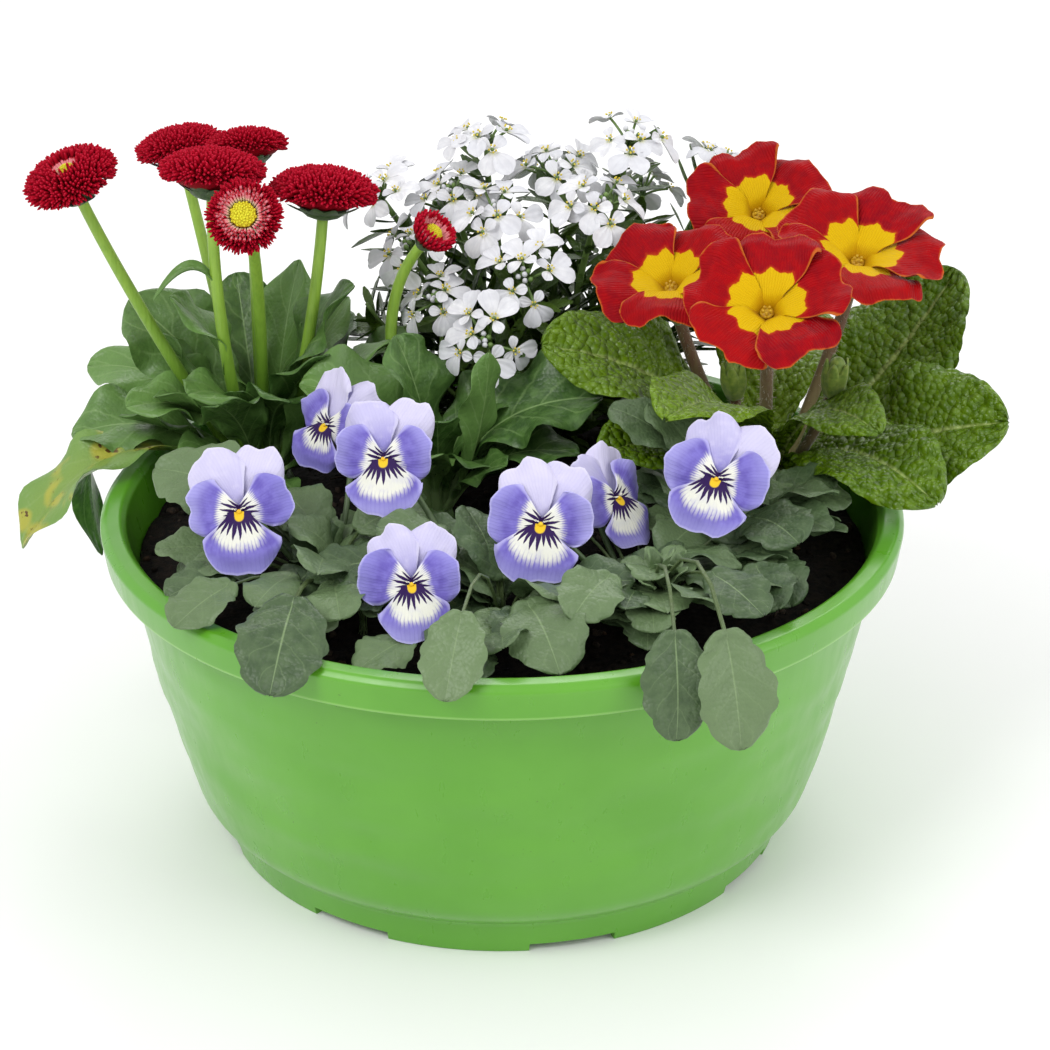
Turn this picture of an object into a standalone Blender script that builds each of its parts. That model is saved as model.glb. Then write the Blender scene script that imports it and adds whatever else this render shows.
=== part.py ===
"""A round plastic patio bowl planted for spring: daisies, primrose, candytuft and four horned violets.

Blender 4.5, metres, +Z up. The origin is on the surface the bowl stands on, under the bowl's centre,
and the side that faces a viewer is -Y. Flowers and large leaves stand where they are listed. The small
leaves follow a rule with seeded draws. A leaf that would cross another plant is turned, lifted or
shortened until it is clear.
"""

import math
import random

import bmesh
import bpy
from mathutils import Matrix, Vector
from mathutils.bvhtree import BVHTree

MM = 0.001
UP = Vector((0, 0, 1))

# Bowl and soil, in metres
RIM_RADIUS = 0.135
RIM_ROUNDING = 0.002
BOWL_HEIGHT = 0.118
WALL = 0.0024
RIM_BAND_BOTTOM = 0.106
RIM_BAND_WALL = 0.002
RIM_BAND_DRAFT = 0.0015
RIM_BAND_HOLLOW = 0.006
WALL_TOP_RADIUS = 0.1285
WALL_MID = (0.1160, 0.052)
WALL_LOW = (0.1065, 0.018)
FOOT_RADIUS = 0.0980
FOOT_TOP = 0.0125
FOOT_DRAFT = 0.0015
FOOT_WALL = 0.003
INNER_CORNER = 0.006
FLOOR_UNDERSIDE = 0.005
FLOOR_TOP = 0.008
TURN_STEPS = 32
FOOT_NOTCHES = 8
FOOT_NOTCH_ANGLE = math.radians(17)
FOOT_NOTCH_FIRST = math.radians(13.4)
FOOT_NOTCH_HEIGHT = 0.0026
DRAIN_HOLES = 4
DRAIN_RADIUS = 0.004
DRAIN_CIRCLE = 0.070
GAP = 0.0003
SOIL_EDGE_HEIGHT = 0.101
SOIL_MOUND = 0.003
CROWN_HOLE_DEPTH = 0.014
CROWN_HOLE_SLACK = 0.0004

# Thickness of what is thin, in metres
BLADE = 0.0009
PETAL = 0.0008

# Crowns, where each plant leaves the soil: x, y and radius in millimetres
CROWNS = {
    "daisy_plant_1": (-84, 46, 11),
    "daisy_plant_2": (-22, 14, 6),
    "primrose_plant": (92, 38, 9),
    "candytuft_plant": (18, 78, 8),
    "violet_plant_1": (-56, -48, 5),
    "violet_plant_2": (0, -72, 5),
    "violet_plant_3": (46, -62, 5),
    "violet_plant_4": (72, -20, 5),
}
CROWN_TOP = 0.110
# Where stems and leaves start: depth below the crown's top, and distance out as a share of its radius
STEM_ROOT = (0.006, 0.45)
LEAF_ROOT = (0.003, 0.50)

# Daisy heads: plant, centre of the head's base in millimetres, lean in degrees, direction of the lean,
# radius, disc radius. Direction 0 leans to +X and 90 to +Y.
DAISY_HEADS = [
    ("daisy_plant_1", (-141, 27, 219), 22, 215, 16.0, 2.6),
    ("daisy_plant_1", (-113, 94, 208), 14, 150, 15.5, 0),
    ("daisy_plant_1", (-96, 30, 219), 12, 80, 17.5, 0),
    ("daisy_plant_1", (-87, 67, 217), 18, 100, 14.0, 0),
    ("daisy_plant_1", (-83, 4, 216), 58, 268, 12.5, 4.2),
    ("daisy_plant_1", (-60, 42, 208), 10, 60, 18.0, 0),
    ("daisy_plant_2", (-25, 41, 196), 42, 330, 7.0, 3.0),
]

# Primrose blooms: centre of the eye in millimetres, lean in degrees, direction of the lean, radius, turn
PRIMROSE_BLOOMS = [
    ((57, 30, 183), 24, 235, 25, 10),
    ((91, 84, 190), 30, 265, 25, 40),
    ((86, -10, 189), 34, 262, 26, 18),
    ((121, 38, 189), 24, 285, 28, 50),
]
PRIMROSE_BUDS = [((111, 12, 150), 12, 300), ((80, 30, 142), 10, 240)]

# Violet blooms: plant, centre of the eye in millimetres, lean in degrees, direction of the lean, width,
# roll
VIOLET_BLOOMS = [
    ("violet_plant_1", (-83, -60, 141), 62, 268, 37, 8),
    ("violet_plant_1", (-58, -12, 150), 68, 225, 31, -6),
    ("violet_plant_2", (-38, -42, 151), 62, 262, 34, 4),
    ("violet_plant_2", (-28, -92, 131), 58, 272, 34, 2),
    ("violet_plant_3", (12, -68, 140), 60, 268, 37, -4),
    ("violet_plant_3", (37, -42, 137), 66, 318, 32, 6),
    ("violet_plant_4", (68, -52, 148), 58, 255, 36, -10),
]

# Candytuft heads: centre in millimetres, lean in degrees, direction of the lean, radius
CANDYTUFT_HEADS = [
    ((-42, 92, 192), 34, 200, 16),
    ((-31, 62, 183), 36, 220, 13),
    ((-17, 86, 194), 24, 240, 15),
    ((-5, 94, 211), 16, 270, 15),
    ((-2, 68, 194), 30, 265, 15),
    ((20, 90, 201), 20, 275, 16),
    ((-22, 48, 170), 44, 245, 12),
    ((8, 44, 179), 46, 268, 16),
    ((-5, 27, 163), 58, 262, 15),
    ((34, 66, 197), 34, 292, 16),
    ((45, 94, 211), 18, 300, 17),
    ((79, 124, 192), 26, 20, 17),
    ((18, 122, 190), 38, 95, 17),
    ((-20, 114, 180), 42, 130, 15),
    ((52, 126, 182), 46, 80, 15),
]

# Listed leaves: plant, tip, arch, width in millimetres, roll in degrees, kind of outline
LEAVES = [
    ("primrose_plant", (13, 16, 166), 12, 46, -28, "primrose"),
    ("primrose_plant", (53, -32, 163), 14, 38, -20, "primrose"),
    ("primrose_plant", (111, -34, 154), 16, 26, 20, "primrose"),
    ("primrose_plant", (158, 66, 176), -6, 46, 26, "primrose"),
    ("primrose_plant", (170, 2, 144), 4, 48, 38, "primrose"),
    ("primrose_plant", (141, -34, 133), 14, 38, 16, "primrose"),
    ("primrose_plant", (33, -18, 144), 8, 30, -24, "primrose"),
    ("daisy_plant_1", (-168, 8, 98), 22, 30, -4, "daisy"),
    ("daisy_plant_1", (-150, 36, 127), 10, 32, -22, "daisy"),
    ("daisy_plant_1", (-146, 60, 68), 40, 20, 0, "daisy"),
    ("daisy_plant_1", (-148, 74, 136), 14, 26, -20, "daisy"),
    ("daisy_plant_1", (-131, 66, 165), 8, 36, -30, "daisy"),
    ("daisy_plant_1", (-111, 34, 179), 8, 27, -16, "daisy"),
    ("daisy_plant_1", (-95, 86, 168), 3, 28, -10, "daisy"),
    ("daisy_plant_1", (-72, 68, 179), 2, 24, -10, "daisy"),
    ("daisy_plant_1", (-52, 50, 181), 6, 33, 22, "daisy"),
    ("daisy_plant_1", (-105, 6, 154), 12, 22, -20, "daisy"),
    ("daisy_plant_1", (-71, 12, 149), 10, 24, -10, "daisy"),
    ("daisy_plant_1", (-144, 60, 127), 10, 20, 10, "daisy"),
    ("daisy_plant_2", (-68, 16, 155), 12, 38, -26, "daisy"),
    ("daisy_plant_2", (-2, 8, 170), -4, 16, -20, "daisy"),
    ("daisy_plant_2", (-15, -6, 151), 6, 17, 10, "daisy"),
    ("daisy_plant_2", (34, 14, 148), 14, 38, 24, "daisy"),
    ("daisy_plant_2", (-31, 26, 169), 4, 32, 0, "daisy"),
    ("violet_plant_1", (-113, -24, 139), 12, 32, -24, "violet"),
    ("violet_plant_1", (-106, -50, 117), 10, 23, -10, "violet"),
    ("violet_plant_1", (-101, -97, 119), 11, 20, -6, "violet"),
    ("violet_plant_1", (-69, -130, 114), 26, 24, -8, "violet"),
    ("violet_plant_1", (-69, -50, 132), 8, 20, -14, "violet"),
    ("violet_plant_2", (-62, -78, 122), 12, 22, -14, "violet"),
    ("violet_plant_2", (-17, -138, 115), 28, 21, 0, "violet"),
    ("violet_plant_2", (-3, -48, 134), 10, 23, 10, "violet"),
    ("violet_plant_2", (17, -122, 115), 14, 27, 10, "violet"),
    ("violet_plant_2", (-35, -52, 139), 8, 22, -12, "violet"),
    ("violet_plant_3", (14, -104, 128), 12, 21, -14, "violet"),
    ("violet_plant_3", (40, -141, 103), 36, 23, 0, "violet"),
    ("violet_plant_3", (71, -141, 100), 40, 26, 0, "violet"),
    ("violet_plant_3", (79, -106, 114), 14, 20, 12, "violet"),
    ("violet_plant_3", (57, -54, 133), 4, 15, 0, "violet"),
    ("violet_plant_4", (94, -62, 130), 10, 26, 16, "violet"),
    ("violet_plant_4", (99, -72, 115), 12, 21, 14, "violet"),
    ("violet_plant_4", (36, -10, 151), 10, 21, -14, "violet"),
    ("violet_plant_4", (49, -8, 151), 8, 22, -8, "violet"),
    ("primrose_plant", (106, 118, 142), 18, 40, 10, "primrose"),
    ("primrose_plant", (132, 108, 146), 16, 38, 20, "primrose"),
]

# Leaves by rule: plant, count, least and greatest reach, least and greatest tip height, width, outline,
# seed
FILLERS = [
    ("daisy_plant_1", 4, 34, 56, 20, 52, 21, "daisy", 3),
    ("violet_plant_1", 3, 24, 38, 8, 22, 20, "violet", 5),
    ("violet_plant_2", 3, 22, 36, 8, 22, 20, "violet", 8),
    ("violet_plant_3", 3, 20, 36, 8, 22, 19, "violet", 13),
    ("violet_plant_4", 2, 24, 36, 8, 22, 20, "violet", 21),
]

# Outlines: petiole half-width share, position and roundness of the broadest part, how much of the
# rounded tip is kept, fold in degrees
OUTLINES = {
    "daisy": (0.14, 1.75, 0.75, 0.97, 16),
    "violet": (0.07, 1.25, 0.52, 0.95, 0),
    "primrose": (0.14, 1.45, 0.60, 0.95, 14),
}
# The petiole's share of the length. A violet's is what its blade, so many widths long, leaves of it.
PETIOLES = {"daisy": 0.20, "primrose": 0.10}
VIOLET_BLADE = 1.25
VIOLET_PETIOLES = (0.25, 0.75)
SCALLOPS = 2.5
SCALLOP_DEPTH = 0.09
# Rows of faces along each kind of leaf, and across it
LEAF_ROWS = {"daisy": 4, "violet": 6, "primrose": 6}
LEAF_COLUMNS = {"daisy": 2, "violet": 1, "primrose": 2}

# Tries to clear a leaf: turn in degrees, lift in millimetres, share of the length
TRIES = [
    (turn, lift, share)
    for share in (1.0, 0.86, 0.72)
    for lift in (0, 6, -6, 12, 20)
    for turn in (0, 9, -9, 18, -18, 28, -28)
]
# Room kept round a leaf, over the bowl, and for each kind of flower: behind it, in front of it, past
# its edge and as the radius of its stem, in metres
CLEARANCE = 0.0011
BOWL_CLEARANCE = 0.0015
DAISY_ROOM = (0.004, 0.8, 0.001, 0.0036)
PRIMROSE_ROOM = (0.002, 0.007, 0.001, 0.0045)
VIOLET_ROOM = (0.004, 0.003, 0.56, 0.0022)
CANDYTUFT_ROOM = (0.0, 0.6, 0.001, 0.0024)

COLOURS = {
    "bowl": (0.16, 0.50, 0.05),
    "soil": (0.02, 0.015, 0.01),
    "daisy_leaf": (0.08, 0.20, 0.05),
    "daisy_red": (0.50, 0.01, 0.03),
    "daisy_disc": (0.80, 0.72, 0.04),
    "primrose_leaf": (0.13, 0.28, 0.02),
    "primrose_red": (0.60, 0.01, 0.01),
    "candytuft_leaf": (0.05, 0.12, 0.02),
    "candytuft_white": (0.85, 0.85, 0.83),
    "violet_leaf": (0.12, 0.20, 0.10),
    "violet_blue": (0.28, 0.26, 0.66),
}


# Layout


def crown_point(plant, height=CROWN_TOP):
    """The middle of a plant's crown."""
    x, y, _ = CROWNS[plant]
    return Vector((x * MM, y * MM, height))


def facing(lean, direction):
    """The unit vector that leans from the vertical by lean degrees towards direction degrees."""
    tilt, turn = math.radians(lean), math.radians(direction)
    return Vector((math.sin(tilt) * math.cos(turn), math.sin(tilt) * math.sin(turn), math.cos(tilt)))


def bezier(start, middle, end, u):
    """A point of a quadratic curve."""
    return start * (1 - u) ** 2 + middle * 2 * u * (1 - u) + end * u**2


def stem_curve(plant, top, axis, pull):
    """Start, control and end point of a stem that meets its flower along the flower's axis."""
    x, y, radius = CROWNS[plant]
    depth, share = STEM_ROOT
    towards = Vector((top.x - x * MM, top.y - y * MM, 0))
    inset = min(radius * share * MM, towards.length)
    start = crown_point(plant, CROWN_TOP - depth) + towards.normalized() * inset
    return start, top - axis * pull, top


class Leaf:
    """A blade along a curved midrib from its plant's crown to its tip."""

    def __init__(self, plant, tip, arch, width, roll, kind):
        self.plant, self.kind = plant, kind
        self.tip, self.arch, self.half_width = tip, arch, width / 2
        self.roll = math.radians(roll)

    def petiole(self):
        """The share of the length that is stalk."""
        if self.kind in PETIOLES:
            return PETIOLES[self.kind]
        chord = (self.tip - self.root()).length
        # A flat arc is longer than its chord by 8/3 of its rise squared over the chord.
        length = chord + 8 / 3 * self.arch**2 / chord
        least, greatest = VIOLET_PETIOLES
        return min(greatest, max(least, 1 - 2 * self.half_width * VIOLET_BLADE / length))

    def root(self):
        """Where the leaf leaves its crown."""
        x, y, radius = CROWNS[self.plant]
        depth, share = LEAF_ROOT
        outward = Vector((self.tip.x - x * MM, self.tip.y - y * MM, 0)).normalized()
        return crown_point(self.plant, CROWN_TOP - depth) + outward * radius * share * MM

    def moved(self, turn, lift, share):
        """The same leaf turned about its crown, lifted at the tip and shortened."""
        crown = crown_point(self.plant)
        reach = (self.tip - crown) * share
        tip = crown + Matrix.Rotation(math.radians(turn), 3, "Z") @ reach + UP * lift * MM
        leaf = Leaf(self.plant, tip, self.arch * share, 0, 0, self.kind)
        leaf.half_width, leaf.roll = self.half_width * (0.5 + share / 2), self.roll
        return leaf

    def half(self, u):
        """Half the width at u along the leaf, scallops included."""
        stalk, place, round_, kept, _ = OUTLINES[self.kind]
        petiole = self.petiole()
        if u <= petiole + 1e-6:
            return self.half_width * stalk
        t = (u - petiole) / (1 - petiole)
        share = math.sin(math.pi * (t * kept) ** place) ** round_
        if self.kind == "violet":
            share *= 1 + SCALLOP_DEPTH * math.cos(2 * math.pi * SCALLOPS * t)
        return self.half_width * max(share, stalk)

    def point(self, u, v):
        """The blade's surface at u along it and v across it, from -1 to 1."""
        root = self.root()
        chord = self.tip - root
        side = chord.cross(UP)
        side = side.normalized() if side.length > 1e-5 else Vector((1, 0, 0))
        above = side.cross(chord).normalized()
        control = (root + self.tip) / 2 + above * 2 * self.arch
        along = ((control - root) * (1 - u) + (self.tip - control) * u).normalized()
        turn = Matrix.Rotation(self.roll * min(1, u * 1.6), 3, along)
        across = turn @ side
        normal = across.cross(along).normalized()
        fold = math.tan(math.radians(OUTLINES[self.kind][4]))
        half = self.half(u)
        return bezier(root, control, self.tip, u) + across * half * v + normal * half * fold * abs(v)


def leaf_row(leaf, i, rows):
    """Where row i of a blade lies along it: the first is the root, the others share the blade."""
    petiole = leaf.petiole()
    return 0.0 if i == 0 else petiole + (1 - petiole) * (i - 1) / (rows - 1)


def leaf_faces(leaf, spread, first_row=0):
    """Both faces of the blade, spread apart, as the points and triangles of a clearance test."""
    rows, columns = LEAF_ROWS[leaf.kind], LEAF_COLUMNS[leaf.kind]
    grid = [
        [leaf.point(leaf_row(leaf, i, rows), 2 * j / columns - 1) for j in range(columns + 1)]
        for i in range(first_row, rows + 1)
    ]
    points, faces = [], []
    for side in (-1, 1):
        base = len(points)
        for i, row in enumerate(grid):
            ahead, behind = grid[min(i + 1, len(grid) - 1)], grid[max(i - 1, 0)]
            for j, p in enumerate(row):
                across = row[min(j + 1, columns)] - row[max(j - 1, 0)]
                normal = across.cross(ahead[j] - behind[j]).normalized()
                points.append(p + normal * spread * side)
        for i in range(len(grid) - 1):
            for j in range(columns):
                a = base + i * (columns + 1) + j
                b = a + columns + 1
                faces += [(a, a + 1, b + 1), (a, b + 1, b)]
    return points, faces


def crosses_bowl(points):
    """Whether a point is in the rim, or in the soil inside it."""
    for p in points:
        radius = math.hypot(p.x, p.y)
        if radius < RIM_RADIUS + BOWL_CLEARANCE:
            over_soil = radius < WALL_TOP_RADIUS - WALL - BOWL_CLEARANCE
            top = SOIL_EDGE_HEIGHT + SOIL_MOUND if over_soil else BOWL_HEIGHT
            if p.z < top + BOWL_CLEARANCE:
                return True
    return False


def tube_faces(points, radius, sides=5):
    """A tube round a row of points, as the points and triangles of a clearance test."""
    rings, faces = [], []
    for i, p in enumerate(points):
        along = (points[min(i + 1, len(points) - 1)] - points[max(i - 1, 0)]).normalized()
        across = along.orthogonal().normalized()
        for k in range(sides):
            rings.append(p + Matrix.Rotation(2 * math.pi * k / sides, 3, along) @ across * radius)
    for i in range(len(points) - 1):
        for k in range(sides):
            a, b = i * sides + k, i * sides + (k + 1) % sides
            faces += [(a, b, b + sides), (a, b + sides, a + sides)]
    return rings, faces


def plate_faces(centre, axis, radius, low, high, sides=12):
    """A thick round plate across axis, as the points and triangles of a clearance test."""
    across = axis.orthogonal().normalized()
    points = [centre + axis * low, centre + axis * high]
    for level in (low, high):
        for k in range(sides):
            spoke = Matrix.Rotation(2 * math.pi * k / sides, 3, axis) @ across
            points.append(centre + spoke * radius + axis * level)
    faces = []
    for k in range(sides):
        a, b = 2 + k, 2 + (k + 1) % sides
        faces += [(0, b, a), (1, a + sides, b + sides), (a, b, b + sides), (a, b + sides, a + sides)]
    return points, faces


class Crowd:
    """What already stands in the bowl, for testing whether something new is clear of it."""

    def __init__(self):
        self.trees = []

    def add(self, owner, shape):
        self.trees.append((owner, BVHTree.FromPolygons(*shape)))

    def touches(self, shape, skip):
        tree = BVHTree.FromPolygons(*shape)
        return any(other.overlap(tree) for owner, other in self.trees if owner != skip)


def stem_points(curve, count=9, first=0.0):
    """Points along a stem's curve."""
    return [bezier(*curve, first + (1 - first) * i / (count - 1)) for i in range(count)]


def crowd_of_flowers():
    """The flowers and their stems, which every leaf keeps clear of."""
    crowd = Crowd()
    behind, height, edge, stem = DAISY_ROOM
    for i, (plant, place, lean, direction, radius, _) in enumerate(DAISY_HEADS):
        top, axis, size = Vector(place) * MM, facing(lean, direction), radius * MM
        crowd.add(f"daisy_head_{i}", plate_faces(top, axis, size + edge, -behind, size * height))
        crowd.add(plant, tube_faces(stem_points(stem_curve(plant, top, axis, DAISY_STEM_PULL)), stem))
    behind, front, edge, stem = PRIMROSE_ROOM
    for i, (place, lean, direction, radius, _) in enumerate(PRIMROSE_BLOOMS):
        top, axis = Vector(place) * MM, facing(lean, direction)
        crowd.add(f"primrose_bloom_{i}", plate_faces(top, axis, radius * MM + edge, -behind, front))
        base = top - axis * (CALYX_LENGTH + THROAT_DEPTH)
        curve = stem_curve("primrose_plant", base, axis, PRIMROSE_STALK_PULL)
        crowd.add("primrose_plant", tube_faces(stem_points(curve), stem))
    behind, front, share, stem = VIOLET_ROOM
    for i, (plant, place, lean, direction, width, _) in enumerate(VIOLET_BLOOMS):
        top, axis = Vector(place) * MM, facing(lean, direction)
        crowd.add(f"violet_bloom_{i}", plate_faces(top, axis, width * share * MM, -behind, front))
        crowd.add(plant, tube_faces(stem_points(violet_stem(plant, top, axis)), stem))
    behind, height, edge, stem = CANDYTUFT_ROOM
    for i, (place, lean, direction, radius) in enumerate(CANDYTUFT_HEADS):
        top, axis, size = Vector(place) * MM, facing(lean, direction), radius * MM
        crowd.add(f"candytuft_head_{i}", plate_faces(top, axis, size + edge, -behind, size * height))
        curve = stem_curve("candytuft_plant", top, axis, CANDYTUFT_STEM_PULL)
        crowd.add("candytuft_plant", tube_faces(stem_points(curve), stem))
    return crowd


def violet_stem(plant, top, axis):
    """A violet's stem rises behind its bloom and nods over to it."""
    back = top - axis * VIOLET_STEM_END
    start, _, end = stem_curve(plant, back, axis, 0)
    return start, back - axis * VIOLET_STEM_PULL + UP * VIOLET_STEM_RISE, end


def filler_leaves():
    """The leaves that follow a rule: a golden-angle rosette round each crown, with seeded draws."""
    leaves = []
    for plant, count, near, far, low, high, width, kind, seed in FILLERS:
        draw = random.Random(seed)
        crown = crown_point(plant)
        for i in range(count):
            turn = math.radians(137.5 * i + draw.uniform(-15, 15))
            reach, height = draw.uniform(near, far) * MM, draw.uniform(low, high) * MM
            tip = crown + Vector((math.cos(turn) * reach, math.sin(turn) * reach, height))
            arch = draw.uniform(4, 12) * MM
            broad = width * draw.uniform(0.85, 1.15) * MM
            leaves.append(Leaf(plant, tip, arch, broad, draw.uniform(-20, 20), kind))
    return leaves


def settled_leaves(crowd):
    """Every leaf, moved by the first of TRIES that clears the bowl, the flowers and the leaves so far."""
    wanted = [
        Leaf(plant, Vector(tip) * MM, arch * MM, width * MM, roll, kind)
        for plant, tip, arch, width, roll, kind in LEAVES
    ]
    placed = []
    own = {plant: Crowd() for plant in CROWNS}
    for leaf in wanted + filler_leaves():
        fallback = None
        for tried in TRIES:
            new = leaf.moved(*tried)
            whole = leaf_faces(new, BLADE / 2 + CLEARANCE)
            outer = leaf_faces(new, BLADE / 2, 2)
            if crosses_bowl(outer[0]) or crowd.touches(whole, leaf.plant):
                continue
            if not own[leaf.plant].touches(outer, None):
                fallback = new
                break
            fallback = fallback or new
        if fallback is None:
            continue
        placed.append(fallback)
        crowd.add(leaf.plant, leaf_faces(fallback, BLADE / 2))
        own[leaf.plant].add(leaf.plant, leaf_faces(fallback, BLADE / 2, 2))
    return placed


# Blender helpers


def clear_scene():
    for obj in list(bpy.data.objects):
        bpy.data.objects.remove(obj)


def make_collection(name, hidden=False):
    collection = bpy.data.collections.new(name)
    collection.hide_render = hidden
    bpy.context.scene.collection.children.link(collection)
    return collection


def make_material(name, roughness=0.6):
    material = bpy.data.materials.new(name)
    material.use_nodes = True
    shader = material.node_tree.nodes["Principled BSDF"]
    shader.inputs["Base Color"].default_value = (*COLOURS[name], 1)
    shader.inputs["Roughness"].default_value = roughness
    shader.inputs["Metallic"].default_value = 0
    return material


def add_object(name, mesh, collection):
    obj = bpy.data.objects.new(name, mesh)
    collection.objects.link(obj)
    return obj


def baked_mesh(obj, weld=False):
    """The object's evaluated mesh. A curve's caps, and a profile's ends on its axis, need the weld."""
    graph = bpy.context.evaluated_depsgraph_get()
    mesh = bpy.data.meshes.new_from_object(obj.evaluated_get(graph))
    if weld:
        work = bmesh.new()
        work.from_mesh(mesh)
        bmesh.ops.remove_doubles(work, verts=work.verts, dist=1e-6)
        bmesh.ops.recalc_face_normals(work, faces=work.faces)
        work.to_mesh(mesh)
        work.free()
    return mesh


def baked(obj, weld=False):
    """Replaces an object by its evaluated mesh."""
    name, collection = obj.name, obj.users_collection[0]
    mesh = baked_mesh(obj, weld)
    bpy.data.objects.remove(obj)
    return add_object(name, mesh, collection)


def turned(name, profile, collection, steps=TURN_STEPS):
    """A solid of revolution from radius and height pairs that run down its outer side."""
    mesh = bpy.data.meshes.new(name)
    points = [(r, 0, z) for r, z in profile]
    mesh.from_pydata(points, [(i, i + 1) for i in range(len(points) - 1)], [])
    obj = add_object(name, mesh, collection)
    screw = obj.modifiers.new("turn", "SCREW")
    screw.steps = screw.render_steps = steps
    screw.use_merge_vertices = True
    screw.merge_threshold = 0.00005
    return baked(obj, weld=True)


def cylinder(name, radius, depth, place, collection, sides=12):
    work = bmesh.new()
    bmesh.ops.create_cone(
        work, cap_ends=True, segments=sides, radius1=radius, radius2=radius, depth=depth,
        matrix=Matrix.Translation(place),
    )
    mesh = bpy.data.meshes.new(name)
    work.to_mesh(mesh)
    work.free()
    return add_object(name, mesh, collection)


def cut(obj, cutters):
    """Cuts the cutters from obj one after another and removes them."""
    for cutter in cutters:
        modifier = obj.modifiers.new("cut", "BOOLEAN")
        modifier.operation = "DIFFERENCE"
        modifier.solver = "EXACT"
        modifier.object = cutter
    done = baked(obj)
    for cutter in cutters:
        bpy.data.objects.remove(cutter)
    return done


def largest_body(mesh):
    """Removes the crumbs that a union can leave beside the one body it is for."""
    work = bmesh.new()
    work.from_mesh(mesh)
    left, bodies = set(work.verts), []
    while left:
        front = [left.pop()]
        body = list(front)
        while front:
            near = {edge.other_vert(vert) for vert in front for edge in vert.link_edges} & left
            left -= near
            front = list(near)
            body += front
        bodies.append(body)
    bodies.sort(key=len)
    for body in bodies[:-1]:
        bmesh.ops.delete(work, geom=body, context="VERTS")
    work.to_mesh(mesh)
    work.free()


def fused(name, pieces, collection, material, work_collection):
    """One solid from overlapping pieces, which it removes."""
    base = add_object(name, baked_mesh(pieces[0]), collection)
    others = bpy.data.collections.new(name + "_pieces")
    work_collection.children.link(others)
    for piece in pieces[1:]:
        others.objects.link(piece)
    modifier = base.modifiers.new("join", "BOOLEAN")
    modifier.operation = "UNION"
    modifier.solver = "EXACT"
    modifier.operand_type = "COLLECTION"
    modifier.collection = others
    done = baked(base)
    largest_body(done.data)
    for piece in pieces:
        bpy.data.objects.remove(piece)
    bpy.data.collections.remove(others)
    done.data.materials.clear()
    done.data.materials.append(material)
    return done


def sheet(name, rows, columns, place, thickness, collection):
    """A thin closed plate: a grid of triangles shaped by place(i, j) and thickened both ways."""
    work = bmesh.new()
    bmesh.ops.create_grid(work, x_segments=rows, y_segments=columns, size=0.5)
    for vert in work.verts:
        i, j = round((vert.co.x + 0.5) * rows), round((vert.co.y + 0.5) * columns)
        vert.co = place(i, j)
    bmesh.ops.triangulate(work, faces=work.faces, quad_method="FIXED")
    mesh = bpy.data.meshes.new(name)
    work.to_mesh(mesh)
    work.free()
    obj = add_object(name, mesh, collection)
    solidify = obj.modifiers.new("thickness", "SOLIDIFY")
    solidify.thickness = thickness
    solidify.offset = 0
    return baked(obj)


def tube(name, points, radius, collection, roundness):
    """A round bar along points, with welded caps."""
    curve = bpy.data.curves.new(name, "CURVE")
    curve.dimensions = "3D"
    curve.bevel_depth = radius
    curve.bevel_resolution = roundness
    curve.use_fill_caps = True
    spline = curve.splines.new("POLY")
    spline.points.add(len(points) - 1)
    for target, p in zip(spline.points, points):
        target.co = (*p, 1)
    obj = bpy.data.objects.new(name, curve)
    collection.objects.link(obj)
    return baked(obj, weld=True)


def ball(name, segments, rings, shape, collection, matrix):
    """A sphere whose points are moved by shape(x, y, z) and then placed by matrix."""
    work = bmesh.new()
    bmesh.ops.create_uvsphere(work, u_segments=segments, v_segments=rings, radius=1)
    for vert in work.verts:
        vert.co = matrix @ Vector(shape(*vert.co))
    bmesh.ops.recalc_face_normals(work, faces=work.faces)
    mesh = bpy.data.meshes.new(name)
    work.to_mesh(mesh)
    work.free()
    return add_object(name, mesh, collection)


def stand(place, axis, turn=0.0):
    """The matrix that puts a flower modelled along +Z at place, along axis."""
    # The flower's own -Y side is kept low, so that a face has a top and a bottom.
    side = UP.cross(axis)
    side = side.normalized() if side.length > 1e-4 else Vector((1, 0, 0))
    matrix = Matrix((side, axis.cross(side), axis)).transposed().to_4x4()
    return Matrix.Translation(place) @ matrix @ Matrix.Rotation(math.radians(turn), 4, "Z")


# Bowl and soil


def bowl_profile():
    """Radius and height along the bowl's section, from the floor's inside over the rim to its underside."""
    inner_top = WALL_TOP_RADIUS - WALL
    band, band_radius = RIM_BAND_BOTTOM, RIM_RADIUS - RIM_BAND_DRAFT
    foot = FOOT_RADIUS - FOOT_DRAFT
    return [
        (0, FLOOR_TOP),
        (WALL_LOW[0] - WALL - INNER_CORNER, FLOOR_TOP),
        (WALL_MID[0] - WALL, WALL_MID[1]),
        (inner_top, BOWL_HEIGHT - RIM_ROUNDING),
        (inner_top + RIM_ROUNDING, BOWL_HEIGHT),
        (RIM_RADIUS - RIM_ROUNDING, BOWL_HEIGHT),
        (RIM_RADIUS, BOWL_HEIGHT - RIM_ROUNDING),
        (band_radius, band),
        (band_radius - RIM_BAND_WALL, band),
        (WALL_TOP_RADIUS, band + RIM_BAND_HOLLOW),
        WALL_MID,
        WALL_LOW,
        (FOOT_RADIUS + FOOT_DRAFT, FOOT_TOP),
        (foot, 0),
        (foot - FOOT_WALL, 0),
        (foot - FOOT_WALL, FLOOR_UNDERSIDE),
        (0, FLOOR_UNDERSIDE),
    ]


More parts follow.
